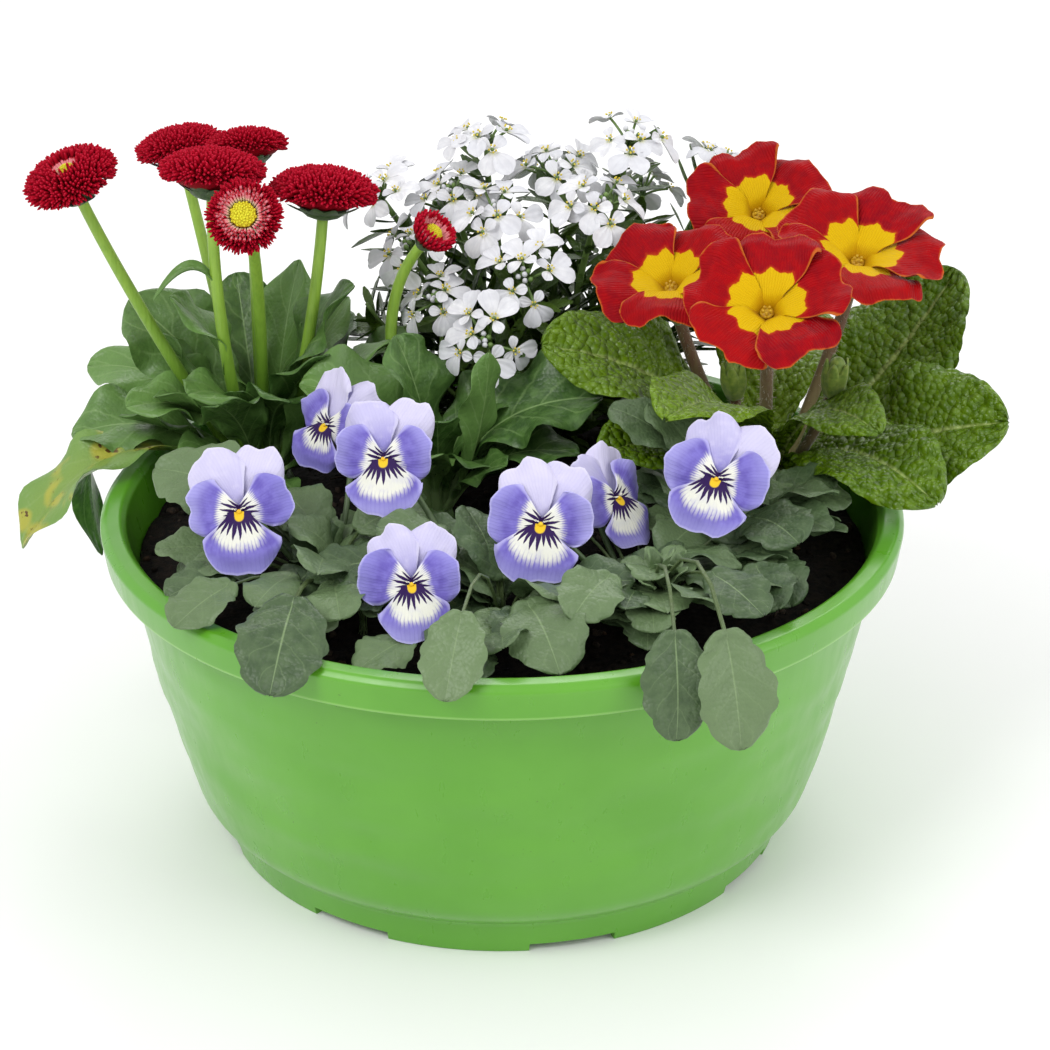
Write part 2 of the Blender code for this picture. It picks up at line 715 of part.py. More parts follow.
def foot_notches(collection):
    """Cutters for the gaps in the foot ring that let water out."""
    cutters = []
    for i in range(FOOT_NOTCHES):
        turn = -math.pi / 2 + FOOT_NOTCH_FIRST + 2 * math.pi * i / FOOT_NOTCHES
        work = bmesh.new()
        bmesh.ops.create_cube(work, size=1)
        width = 2 * FOOT_RADIUS * math.sin(FOOT_NOTCH_ANGLE / 2)
        matrix = (
            Matrix.Rotation(turn, 4, "Z")
            @ Matrix.Translation((FOOT_RADIUS, 0, 0))
            @ Matrix.Diagonal((10 * FOOT_WALL, width, 2 * FOOT_NOTCH_HEIGHT, 1))
        )
        bmesh.ops.transform(work, matrix=matrix, verts=work.verts)
        mesh = bpy.data.meshes.new("notch")
        work.to_mesh(mesh)
        work.free()
        cutters.append(add_object(f"notch_{i}", mesh, collection))
    return cutters


def drain_cutters(collection):
    """Cutters for the drain holes in the floor."""
    cutters = []
    for i in range(DRAIN_HOLES):
        turn = math.pi / 4 + 2 * math.pi * i / DRAIN_HOLES
        place = (DRAIN_CIRCLE * math.cos(turn), DRAIN_CIRCLE * math.sin(turn), FLOOR_TOP)
        depth = 2 * FLOOR_TOP
        cutters.append(cylinder(f"drain_{i}", DRAIN_RADIUS, depth, place, collection, sides=8))
    return cutters


def build_bowl(parts, helpers):
    bowl = turned("bowl", bowl_profile(), parts)
    bowl = cut(bowl, foot_notches(helpers) + drain_cutters(helpers))
    bowl.data.materials.append(make_material("bowl", 0.4))
    bowl.data.shade_smooth()
    bowl.data.set_sharp_from_angle(angle=math.radians(35))


def build_soil(parts, helpers):
    """The potting soil: it fills the bowl and has a plain hole for each crown."""
    share = (SOIL_EDGE_HEIGHT - WALL_MID[1]) / (BOWL_HEIGHT - RIM_ROUNDING - WALL_MID[1])
    edge = WALL_MID[0] + (WALL_TOP_RADIUS - WALL_MID[0]) * share - WALL - GAP
    profile = [
        (0, SOIL_EDGE_HEIGHT + SOIL_MOUND),
        (edge * 0.7, SOIL_EDGE_HEIGHT + SOIL_MOUND * 0.8),
        (edge, SOIL_EDGE_HEIGHT),
        (WALL_MID[0] - WALL - GAP, WALL_MID[1]),
        (WALL_LOW[0] - WALL - INNER_CORNER - 2 * GAP, FLOOR_TOP + GAP),
        (0, FLOOR_TOP + GAP),
    ]
    soil = turned("soil", profile, parts)
    holes = []
    for plant, (x, y, radius) in CROWNS.items():
        depth = 2 * CROWN_HOLE_DEPTH
        place, wide = (x * MM, y * MM, SOIL_EDGE_HEIGHT), radius * MM + CROWN_HOLE_SLACK
        holes.append(cylinder(f"hole_{plant}", wide, depth, place, helpers, sides=8))
    soil = cut(soil, holes)
    soil.data.materials.append(make_material("soil", 1.0))


# Plants


def crown_solid(plant, collection):
    """The stump from which a plant's leaves and stems rise."""
    x, y, radius = CROWNS[plant]
    bottom = SOIL_EDGE_HEIGHT - CROWN_HOLE_DEPTH + GAP
    height = CROWN_TOP - bottom
    place = (x * MM, y * MM, bottom + height / 2)
    return cylinder(f"{plant}_crown", radius * MM, height, place, collection, sides=8)


def leaf_solid(leaf, index, collection):
    rows, columns = LEAF_ROWS[leaf.kind], LEAF_COLUMNS[leaf.kind]

    def place(i, j):
        return leaf.point(leaf_row(leaf, i, rows), 2 * j / columns - 1)

    return sheet(f"{leaf.plant}_leaf_{index}", rows, columns, place, BLADE, collection)


def stem_solid(name, curve, radius, collection, count=5, roundness=1):
    return tube(name, stem_points(curve, count), radius, collection, roundness)


# Daisies

DAISY_STEM_RADIUS = 0.0021
DAISY_STEM_PULL = 0.045
DAISY_STEM_OVERLAP = 0.002
DAISY_CUP_HEIGHT = 0.005
DAISY_CUP_SHARE = 0.5
# A head's dome from below to above: radius and height, as shares of the head's radius and height
DAISY_PROFILE = [
    (0.0, 0.0),
    (0.62, 0.02),
    (0.98, 0.24),
    (0.93, 0.52),
    (0.62, 0.78),
    (0.22, 0.86),
    (0.0, 0.80),
]
DAISY_HEIGHT_SHARE = 0.72
# The well that holds a disc: room round the disc, and the level of its floor as a share of the height
DAISY_WELL_ROOM = 0.0006
DAISY_WELL_LEVEL = 0.60
DAISY_FLORET_RISE = 0.11
# Florets in a ring of an open head and of a bud
DAISY_FLORETS = 12
DAISY_BUD_FLORETS = 8
DAISY_BUD_RADIUS = 0.01


def daisy_cup(name, top, axis, radius, collection):
    """The green bracts under a head: a shallow cup that the head sits on."""
    width = radius * DAISY_CUP_SHARE

    def shape(x, y, z):
        return (x * width, y * width, (min(z, 0.5) - 0.5) * DAISY_CUP_HEIGHT)

    return ball(name, 7, 3, shape, collection, stand(top, axis))


def daisy_head(name, top, axis, radius, disc, parts, material):
    """A round head of quilled florets raised from a dome, with a well in its middle for the disc."""
    rings = len(DAISY_PROFILE) - 1
    florets = DAISY_FLORETS if radius > DAISY_BUD_RADIUS else DAISY_BUD_FLORETS
    height = radius * DAISY_HEIGHT_SHARE
    work = bmesh.new()
    bmesh.ops.create_uvsphere(work, u_segments=florets, v_segments=rings, radius=1)
    well = (disc + DAISY_WELL_ROOM) / radius
    raised = []
    for vert in work.verts:
        ring = round((1 - math.acos(max(-1, min(1, vert.co.z))) / math.pi) * rings)
        share, level = DAISY_PROFILE[ring]
        if disc and ring >= rings - 1:
            share, level = (well if ring < rings else 0), DAISY_WELL_LEVEL
        turn = math.atan2(vert.co.y, vert.co.x) + ring * math.pi / florets
        out = share * radius
        vert.co = Vector((out * math.cos(turn), out * math.sin(turn), level * height))
    bmesh.ops.recalc_face_normals(work, faces=work.faces)
    for face in work.faces:
        centre = face.calc_center_median()
        under = math.hypot(centre.x, centre.y) < radius * 0.55 and centre.z < height * 0.2
        if len(face.verts) == 4 and not under:
            raised.append(face)
    bmesh.ops.poke(work, faces=raised, offset=radius * DAISY_FLORET_RISE)
    bmesh.ops.transform(work, matrix=stand(top + axis * GAP, axis), verts=work.verts)
    mesh = bpy.data.meshes.new(name)
    work.to_mesh(mesh)
    work.free()
    add_object(name, mesh, parts).data.materials.append(material)


def daisy_disc(name, top, axis, radius, disc, parts, material):
    """The yellow tube florets in the middle of an open head."""
    floor = radius * DAISY_HEIGHT_SHARE * DAISY_WELL_LEVEL + 2 * GAP

    def shape(x, y, z):
        return (x * disc, y * disc, floor + max(z, 0) * disc * 0.55)

    ball(name, 8, 4, shape, parts, stand(top, axis)).data.materials.append(material)


def build_daisies(parts, helpers, leaves):
    green, red = make_material("daisy_leaf"), make_material("daisy_red")
    yellow = make_material("daisy_disc")
    for plant in ("daisy_plant_1", "daisy_plant_2"):
        pieces = [crown_solid(plant, helpers)]
        pieces += [leaf_solid(leaf, i, helpers) for i, leaf in enumerate(leaves) if leaf.plant == plant]
        for i, (owner, place, lean, direction, radius, disc) in enumerate(DAISY_HEADS):
            if owner != plant:
                continue
            top, axis = Vector(place) * MM, facing(lean, direction)
            curve = stem_curve(plant, top - axis * DAISY_STEM_OVERLAP, axis, DAISY_STEM_PULL)
            pieces.append(stem_solid(f"daisy_stem_{i}", curve, DAISY_STEM_RADIUS, helpers, 4))
            pieces.append(daisy_cup(f"daisy_cup_{i}", top, axis, radius * MM, helpers))
            daisy_head(f"daisy_head_{i + 1}", top, axis, radius * MM, disc * MM, parts, red)
            if disc:
                daisy_disc(f"daisy_disc_{i + 1}", top, axis, radius * MM, disc * MM, parts, yellow)
        fused(plant, pieces, parts, green, helpers)


# Primrose

PRIMROSE_STALK_RADIUS = 0.0022
PRIMROSE_STALK_PULL = 0.030
BUD_STALK_RADIUS = 0.0018
BUD_STALK_PULL = 0.015
STALK_OVERLAP = 0.003
CALYX_LENGTH = 0.014
CALYX_RADIUS = 0.0045
THROAT_RADIUS = 0.0046
THROAT_DEPTH = 0.0018
# How far out each row of a petal lies
PRIMROSE_PETAL_ROWS = (0.0, 0.45, 0.80, 1.0)


def primrose_petal_point(radius, u, v):
    """A heart-shaped petal in the bloom's own frame: u out from the throat, v across."""
    reach = THROAT_RADIUS * 0.4 + u * (radius - THROAT_RADIUS * 0.4)
    half = radius * (0.10 + 0.40 * math.sin(math.pi * min(1, u**1.15) * 0.62) ** 1.1)
    if u > 0.8:
        half *= 1 - 0.42 * (u - 0.8) / 0.2
    notch = radius * 0.13 * max(0, 1 - abs(v) * 1.6) * max(0, (u - 0.7) / 0.3) ** 2
    lift = radius * (0.30 * u - 0.16 * u**2)
    return Vector((reach - notch, half * v, lift + half * v * 0.16))


def calyx(name, base, axis, collection):
    """The ribbed green tube under a bloom or round a bud, on top of its stalk."""

    def shape(x, y, z):
        turn = math.atan2(y, x)
        rib = 1 + 0.14 * math.cos(5 * turn)
        swell = CALYX_RADIUS * (0.78 if z > 0.3 else 1.0)
        return (x * swell * rib, y * swell * rib, (z + 1) * CALYX_LENGTH / 2)

    return ball(name, 10, 4, shape, collection, stand(base, axis))


def primrose_bloom(name, place, axis, radius, turn, parts, helpers, material):
    """Five notched petals and the tube that they share."""
    matrix = stand(place, axis, turn)

    def throat(x, y, z):
        return (x * THROAT_RADIUS, y * THROAT_RADIUS, z * THROAT_DEPTH)

    pieces = [ball(f"{name}_throat", 5, 4, throat, helpers, matrix)]
    for k in range(5):
        spin = matrix @ Matrix.Rotation(2 * math.pi * k / 5, 4, "Z")

        def point(i, j, spin=spin):
            return spin @ primrose_petal_point(radius, PRIMROSE_PETAL_ROWS[i], j - 1)

        rows = len(PRIMROSE_PETAL_ROWS) - 1
        pieces.append(sheet(f"{name}_petal_{k}", rows, 2, point, PETAL, helpers))
    fused(name, pieces, parts, material, helpers)


def build_primrose(parts, helpers, leaves):
    green, red = make_material("primrose_leaf"), make_material("primrose_red")
    plant = "primrose_plant"
    pieces = [crown_solid(plant, helpers)]
    pieces += [leaf_solid(leaf, i, helpers) for i, leaf in enumerate(leaves) if leaf.plant == plant]
    for i, (place, lean, direction, radius, turn) in enumerate(PRIMROSE_BLOOMS):
        top, axis = Vector(place) * MM, facing(lean, direction)
        base = top - axis * (CALYX_LENGTH + THROAT_DEPTH + GAP)
        pieces.append(calyx(f"calyx_{i}", base, axis, helpers))
        curve = stem_curve(plant, base + axis * STALK_OVERLAP, axis, PRIMROSE_STALK_PULL)
        pieces.append(stem_solid(f"stalk_{i}", curve, PRIMROSE_STALK_RADIUS, helpers))
        primrose_bloom(f"primrose_bloom_{i + 1}", top, axis, radius * MM, turn, parts, helpers, red)
    for i, (place, lean, direction) in enumerate(PRIMROSE_BUDS):
        base, axis = Vector(place) * MM, facing(lean, direction)
        pieces.append(calyx(f"bud_{i}", base, axis, helpers))
        curve = stem_curve(plant, base + axis * STALK_OVERLAP, axis, BUD_STALK_PULL)
        pieces.append(stem_solid(f"bud_stalk_{i}", curve, BUD_STALK_RADIUS, helpers, 4))
    fused(plant, pieces, parts, green, helpers)


# Violets

VIOLET_STEM_RADIUS = 0.0011
# Where a stem ends behind its bloom, how far back its bend is, and how far up
VIOLET_STEM_END = 0.006
VIOLET_STEM_PULL = 0.014
VIOLET_STEM_RISE = 0.006
# Half-widths of the core that joins the petals and of the sepals behind it, across and along the axis
VIOLET_CORE = (0.0044, 0.0030)
SEPALS = (0.0032, 0.0022)
# Petals: direction in degrees from the bloom's right, length and width as shares of the bloom's width,
# how far the petal stands in front of the others in millimetres, and how far its tip leans back, as a
# share of its length
VIOLET_PETALS = [
    (64, 0.60, 0.52, -2.4, 0.10),
    (116, 0.60, 0.52, -1.2, 0.06),
    (22, 0.48, 0.45, 0.0, 0.04),
    (158, 0.48, 0.45, 0.0, 0.04),
    (270, 0.57, 0.66, 1.1, -0.08),
]
# How far out each row of a petal lies
VIOLET_PETAL_ROWS = (0.0, 0.36, 0.76, 1.0)


def violet_petal_point(width, petal, u, v):
    """A rounded petal in the bloom's own frame, whose +Z faces the viewer."""
    direction, length, broad, front, back = petal
    turn = math.radians(direction)
    reach = width * length * u
    swell = math.sin(math.pi * min(1, u * 0.98 + 0.01) ** 1.5) ** 0.6
    half = width * broad / 2 * (0.22 + 0.78 * swell if u else 0.2)
    along = Vector((math.cos(turn), math.sin(turn), 0))
    across = Vector((-math.sin(turn), math.cos(turn), 0))
    depth = front * MM - back * width * length * u**2
    return along * reach + across * half * v + Vector((0, 0, depth))


def violet_bloom(name, place, axis, width, roll, parts, helpers, material):
    """Five petals, the lowest in front, on the core that joins them."""
    matrix = stand(place, axis, roll)
    wide, deep = VIOLET_CORE

    def core(x, y, z):
        return (x * wide, y * wide, z * deep)

    pieces = [ball(f"{name}_core", 6, 4, core, helpers, matrix)]
    for k, petal in enumerate(VIOLET_PETALS):

        def point(i, j, petal=petal):
            return matrix @ violet_petal_point(width, petal, VIOLET_PETAL_ROWS[i], 2 * j - 1)

        rows = len(VIOLET_PETAL_ROWS) - 1
        pieces.append(sheet(f"{name}_petal_{k}", rows, 1, point, PETAL, helpers))
    fused(name, pieces, parts, material, helpers)


def sepals(name, top, axis, collection):
    """The small green cup behind a violet."""
    wide, deep = SEPALS

    def shape(x, y, z):
        return (x * wide, y * wide, z * deep)

    return ball(name, 6, 3, shape, collection, stand(top, axis))


def build_violets(parts, helpers, leaves):
    green, blue = make_material("violet_leaf"), make_material("violet_blue")
    for plant in [name for name in CROWNS if name.startswith("violet")]:
        pieces = [crown_solid(plant, helpers)]
        pieces += [leaf_solid(leaf, i, helpers) for i, leaf in enumerate(leaves) if leaf.plant == plant]
        for i, (owner, place, lean, direction, width, roll) in enumerate(VIOLET_BLOOMS):
            if owner != plant:
                continue
            top, axis = Vector(place) * MM, facing(lean, direction)
            base = top - axis * (VIOLET_CORE[1] + SEPALS[1] + GAP)
            pieces.append(sepals(f"sepals_{i}", base, axis, helpers))
            curve = violet_stem(plant, top, axis)
            pieces.append(stem_solid(f"violet_stem_{i}", curve, VIOLET_STEM_RADIUS, helpers, 6, 0))
            violet_bloom(f"violet_bloom_{i + 1}", top, axis, width * MM, roll, parts, helpers, blue)
        fused(plant, pieces, parts, green, helpers)


# Candytuft

CANDYTUFT_STEM_RADIUS = 0.0013
CANDYTUFT_STEM_PULL = 0.045
CANDYTUFT_FLORETS = 5
# The rings of a head from below to above: radius and height, as shares of the head's radius, at the gap
# between two florets, at a petal, between a floret's two petals and at its other petal
CANDYTUFT_RINGS = [
    ((0.12, 0.00), (0.12, 0.00), (0.12, 0.00), (0.12, 0.00)),
    ((0.52, 0.10), (1.00, 0.34), (0.80, 0.20), (1.00, 0.30)),
    ((0.36, 0.26), (0.60, 0.50), (0.68, 0.30), (0.56, 0.46)),
    ((0.30, 0.40), (0.22, 0.46), (0.38, 0.58), (0.22, 0.46)),
]
CANDYTUFT_TOP = 0.48
CANDYTUFT_LEAF_LENGTH = (0.014, 0.021)
CANDYTUFT_LEAF_HALF = (0.0018, 0.0007)
CANDYTUFT_LEAF_ROOM = 0.0022
CANDYTUFT_LEAVES_PER_STEM = 3


def candytuft_head(name, top, axis, radius, index, parts, material):
    """A flat head of florets: each shows two long petals outside and its short ones further in."""
    segments, steps = 4 * CANDYTUFT_FLORETS, len(CANDYTUFT_RINGS) + 1
    work = bmesh.new()
    bmesh.ops.create_uvsphere(work, u_segments=segments, v_segments=steps, radius=1)
    for vert in work.verts:
        ring = round((1 - math.acos(max(-1, min(1, vert.co.z))) / math.pi) * steps)
        if ring in (0, steps):
            vert.co = Vector((0, 0, CANDYTUFT_TOP * radius if ring else 0))
            continue
        turn = math.atan2(vert.co.y, vert.co.x)
        seat = round(turn / (2 * math.pi) * segments) % 4
        share, level = CANDYTUFT_RINGS[ring - 1][seat]
        vert.co = Vector((math.cos(turn) * share, math.sin(turn) * share, level)) * radius
    bmesh.ops.recalc_face_normals(work, faces=work.faces)
    bmesh.ops.triangulate(work, faces=work.faces, quad_method="FIXED")
    bmesh.ops.transform(work, matrix=stand(top, axis, 40 * index), verts=work.verts)
    mesh = bpy.data.meshes.new(name)
    work.to_mesh(mesh)
    work.free()
    add_object(name, mesh, parts).data.materials.append(material)


def candytuft_leaf(name, root, along, length, collection):
    """A narrow leaf as a slim four-sided spindle."""
    broad, thin = CANDYTUFT_LEAF_HALF

    def shape(x, y, z):
        return (x * broad, y * thin, (z + 0.9) * length / 2)

    return ball(name, 4, 2, shape, collection, stand(root, along))


def candytuft_leaves(crowd):
    """Root, direction and length of each narrow leaf up the stems. One that isn't clear is left off."""
    draw = random.Random(34)
    found = []
    for place, lean, direction, _ in CANDYTUFT_HEADS:
        top, axis = Vector(place) * MM, facing(lean, direction)
        curve = stem_curve("candytuft_plant", top - axis * GAP, axis, CANDYTUFT_STEM_PULL)
        points = stem_points(curve, 5)
        for k in range(CANDYTUFT_LEAVES_PER_STEM):
            step = 1.1 + 2.5 * k / (CANDYTUFT_LEAVES_PER_STEM - 1)
            low, high = points[int(step)], points[int(step) + 1]
            root, stem = low.lerp(high, step % 1), (high - low).normalized()
            turn = math.radians(137.5 * k + draw.uniform(-20, 20))
            spoke = Matrix.Rotation(turn, 3, stem) @ stem.orthogonal().normalized()
            along = (spoke + stem * draw.uniform(0.2, 0.8)).normalized()
            length = draw.uniform(*CANDYTUFT_LEAF_LENGTH)
            shape = tube_faces([root, root + along * length * 0.95], CANDYTUFT_LEAF_ROOM, 4)
            if not crosses_bowl(shape[0]) and not crowd.touches(shape, "candytuft_plant"):
                found.append((root, along, length))
    return found


def build_candytuft(parts, helpers, crowd):
    green, white = make_material("candytuft_leaf"), make_material("candytuft_white")
    plant = "candytuft_plant"
    pieces = [crown_solid(plant, helpers)]
    for i, (place, lean, direction, radius) in enumerate(CANDYTUFT_HEADS):
        top, axis = Vector(place) * MM, facing(lean, direction)
        curve = stem_curve(plant, top - axis * GAP, axis, CANDYTUFT_STEM_PULL)
        pieces.append(stem_solid(f"candytuft_stem_{i}", curve, CANDYTUFT_STEM_RADIUS, helpers, 5, 0))
        candytuft_head(f"candytuft_head_{i + 1}", top, axis, radius * MM, i, parts, white)
    for i, (root, along, length) in enumerate(candytuft_leaves(crowd)):
        pieces.append(candytuft_leaf(f"candytuft_leaf_{i}", root, along, length, helpers))
    fused(plant, pieces, parts, green, helpers)


def build():
    clear_scene()
    parts = make_collection("spring_flower_planter")
    helpers = make_collection("helpers", hidden=True)
    build_bowl(parts, helpers)
    build_soil(parts, helpers)
    crowd = crowd_of_flowers()
    leaves = settled_leaves(crowd)
    build_daisies(parts, helpers, leaves)
    build_primrose(parts, helpers, leaves)
    build_violets(parts, helpers, leaves)
    build_candytuft(parts, helpers, crowd)


build()
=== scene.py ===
"""Dresses the spring flower planter: a finer piece for each solid, and the materials, light and camera.

Metres, +Z up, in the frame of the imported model. The tables repeat the part's own values, so that every
flower, leaf and stem stands where its solid does. Lengths in the tables are in millimetres, and angles in
them are in degrees.
"""

import math

import bmesh
import bpy
import numpy as np
from mathutils import Matrix, Vector, noise


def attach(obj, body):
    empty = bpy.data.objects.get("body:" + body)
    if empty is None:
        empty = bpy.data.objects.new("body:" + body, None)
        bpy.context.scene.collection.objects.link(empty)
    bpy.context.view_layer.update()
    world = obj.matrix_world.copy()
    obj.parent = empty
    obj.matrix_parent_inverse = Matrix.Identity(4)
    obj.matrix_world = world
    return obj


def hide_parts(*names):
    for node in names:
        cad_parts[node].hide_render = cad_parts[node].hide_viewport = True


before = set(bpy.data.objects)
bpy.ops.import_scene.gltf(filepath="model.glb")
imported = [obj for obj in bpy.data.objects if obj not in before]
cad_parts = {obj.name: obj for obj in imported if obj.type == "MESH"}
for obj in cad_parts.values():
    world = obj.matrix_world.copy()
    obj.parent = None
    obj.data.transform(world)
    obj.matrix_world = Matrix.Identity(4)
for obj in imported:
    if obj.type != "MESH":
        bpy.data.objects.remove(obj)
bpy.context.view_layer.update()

MM = 0.001
UP = np.array((0.0, 0.0, 1.0))
GOLDEN = math.pi * (3 - math.sqrt(5))

# Bowl and soil, in metres
RIM_RADIUS, RIM_ROUNDING, BOWL_HEIGHT = 0.135, 0.002, 0.118
WALL, WALL_TOP_RADIUS = 0.0024, 0.1285
BAND_BOTTOM, BAND_WALL, BAND_DRAFT, BAND_HOLLOW = 0.106, 0.002, 0.0015, 0.006
WALL_MID, WALL_LOW = (0.1160, 0.052), (0.1065, 0.018)
FOOT_RADIUS, FOOT_TOP, FOOT_DRAFT, FOOT_WALL = 0.0980, 0.0125, 0.0015, 0.003
FLOOR_UNDERSIDE, FLOOR_TOP, INNER_CORNER = 0.005, 0.008, 0.006
NOTCHES, NOTCH_ANGLE, NOTCH_FIRST, NOTCH_HEIGHT = 8, 17.0, 13.4, 0.0026
DRAIN_HOLES, DRAIN_RADIUS, DRAIN_CIRCLE = 4, 0.004, 0.070
SOIL_EDGE, SOIL_MOUND, MOUND_RADIUS = 0.101, 0.003, 0.125
SOIL_SKIRT, SOIL_GAP, WALL_SLOPE = 0.096, 0.0004, 0.19
RIPPLE_HEIGHT, RIPPLE_WAVES, RIPPLE_RISE = 0.0010, 2.6, 62
RING_SPACING, CENTRE_HOLE = 0.0022, 0.0005
# Painted highlight: height of a pale line round the rim band's lower edge, and how far above and below it the
# line fades out
BAND_HIGHLIGHT_HEIGHT, BAND_HIGHLIGHT_REACH = 0.1065, 0.0008
CLODS = ((60, 0.0022), (190, 0.0013), (520, 0.0007))  # waves per metre and height
SOIL_RINGS, SOIL_TURNS, CRUMBS, FIBRES = 66, 180, 900, 60

# Crowns: x, y and radius. Their height, and how deep below it and how far out stems and leaves start
CROWNS = {
    "daisy_plant_1": (-84, 46, 11),
    "daisy_plant_2": (-22, 14, 6),
    "primrose_plant": (92, 38, 9),
    "candytuft_plant": (18, 78, 8),
    "violet_plant_1": (-56, -48, 5),
    "violet_plant_2": (0, -72, 5),
    "violet_plant_3": (46, -62, 5),
    "violet_plant_4": (72, -20, 5),
}
CROWN_TOP = 0.110
STEM_ROOT = (0.006, 0.45)
LEAF_ROOT = (0.003, 0.50)

# In metres: radii of the stems, how far below a flower its stem's curve is pulled, the gap between a flower
# and its stem, and the thickness of petals
DAISY_STEM, PRIMROSE_STALK, BUD_STALK, VIOLET_STEM = 0.0021, 0.0022, 0.0018, 0.0010
CANDYTUFT_STEM, SHOOT_STEM = 0.0013, 0.0011
STEM_PULL, STALK_PULL, BUD_PULL = 0.045, 0.030, 0.015
GAP = 0.0003
PRIMROSE_PETAL, VIOLET_PETAL, CANDYTUFT_PETAL = 0.0005, 0.00045, 0.0004

# Daisy heads: number of the plant, centre of the base, lean, direction of the lean, radius, disc radius
DAISY_HEADS = [
    (1, (-141, 27, 219), 22, 215, 16.0, 2.6),
    (1, (-113, 94, 208), 14, 150, 15.5, 0),
    (1, (-96, 30, 219), 12, 80, 17.5, 0),
    (1, (-87, 67, 217), 18, 100, 14.0, 0),
    (1, (-83, 4, 216), 58, 268, 12.5, 4.2),
    (1, (-60, 42, 208), 10, 60, 18.0, 0),
    (2, (-25, 41, 196), 42, 330, 7.0, 3.0),
]
STEM_LEAF_HEAD = 3  # the head whose stem carries a small curled leaf

# Primrose blooms: centre of the eye, lean, direction of the lean, radius, turn
PRIMROSE_BLOOMS = [
    ((57, 30, 183), 24, 235, 25, 10),
    ((91, 84, 190), 30, 265, 25, 40),
    ((86, -10, 189), 34, 262, 26, 18),
    ((121, 38, 189), 24, 285, 28, 50),
]
PRIMROSE_BUDS = [((111, 12, 150), 12, 300), ((80, 30, 142), 10, 240)]

# Violet blooms: number of the plant, centre of the eye, lean, direction of the lean, width, roll
VIOLET_BLOOMS = [
    (1, (-83, -60, 141), 62, 268, 37, 8),
    (1, (-58, -12, 150), 68, 225, 31, -6),
    (2, (-38, -42, 151), 62, 262, 34, 4),
    (2, (-28, -92, 131), 58, 272, 34, 2),
    (3, (12, -68, 140), 60, 268, 37, -4),
    (3, (37, -42, 137), 66, 318, 32, 6),
    (4, (68, -52, 148), 58, 255, 36, -10),
]

# Candytuft heads: centre, lean, direction of the lean, radius
CANDYTUFT_HEADS = [
    ((-42, 92, 192), 34, 200, 16), ((-31, 62, 183), 36, 220, 13), ((-17, 86, 194), 24, 240, 15),
    ((-5, 94, 211), 16, 270, 15), ((-2, 68, 194), 30, 265, 15), ((20, 90, 201), 20, 275, 16),
    ((-22, 48, 170), 44, 245, 12), ((8, 44, 179), 46, 268, 16), ((-5, 27, 163), 58, 262, 15),
    ((34, 66, 197), 34, 292, 16), ((45, 94, 211), 18, 300, 17), ((79, 124, 192), 26, 20, 17),
    ((18, 122, 190), 38, 95, 17), ((-20, 114, 180), 42, 130, 15), ((52, 126, 182), 46, 80, 15),
]

# Tips of leafy candytuft shoots without a head
CANDYTUFT_SHOOTS = [
    (-48, 74, 160), (-26, 46, 148), (-12, 74, 166), (0, 46, 150), (14, 62, 164), (24, 40, 150),
    (36, 58, 162), (50, 72, 170), (62, 88, 166), (28, 92, 176), (-30, 98, 164), (0, 112, 160),
    (46, 112, 164), (66, 112, 158), (-60, 66, 142), (-40, 54, 140), (-52, 90, 150), (-18, 60, 142),
    (8, 38, 138), (-6, 84, 152), (20, 72, 152), (42, 84, 156), (-34, 78, 168), (6, 56, 168),
    (18, 122, 148), (-14, 124, 146), (48, 120, 146), (-38, 112, 148), (74, 100, 150),
]

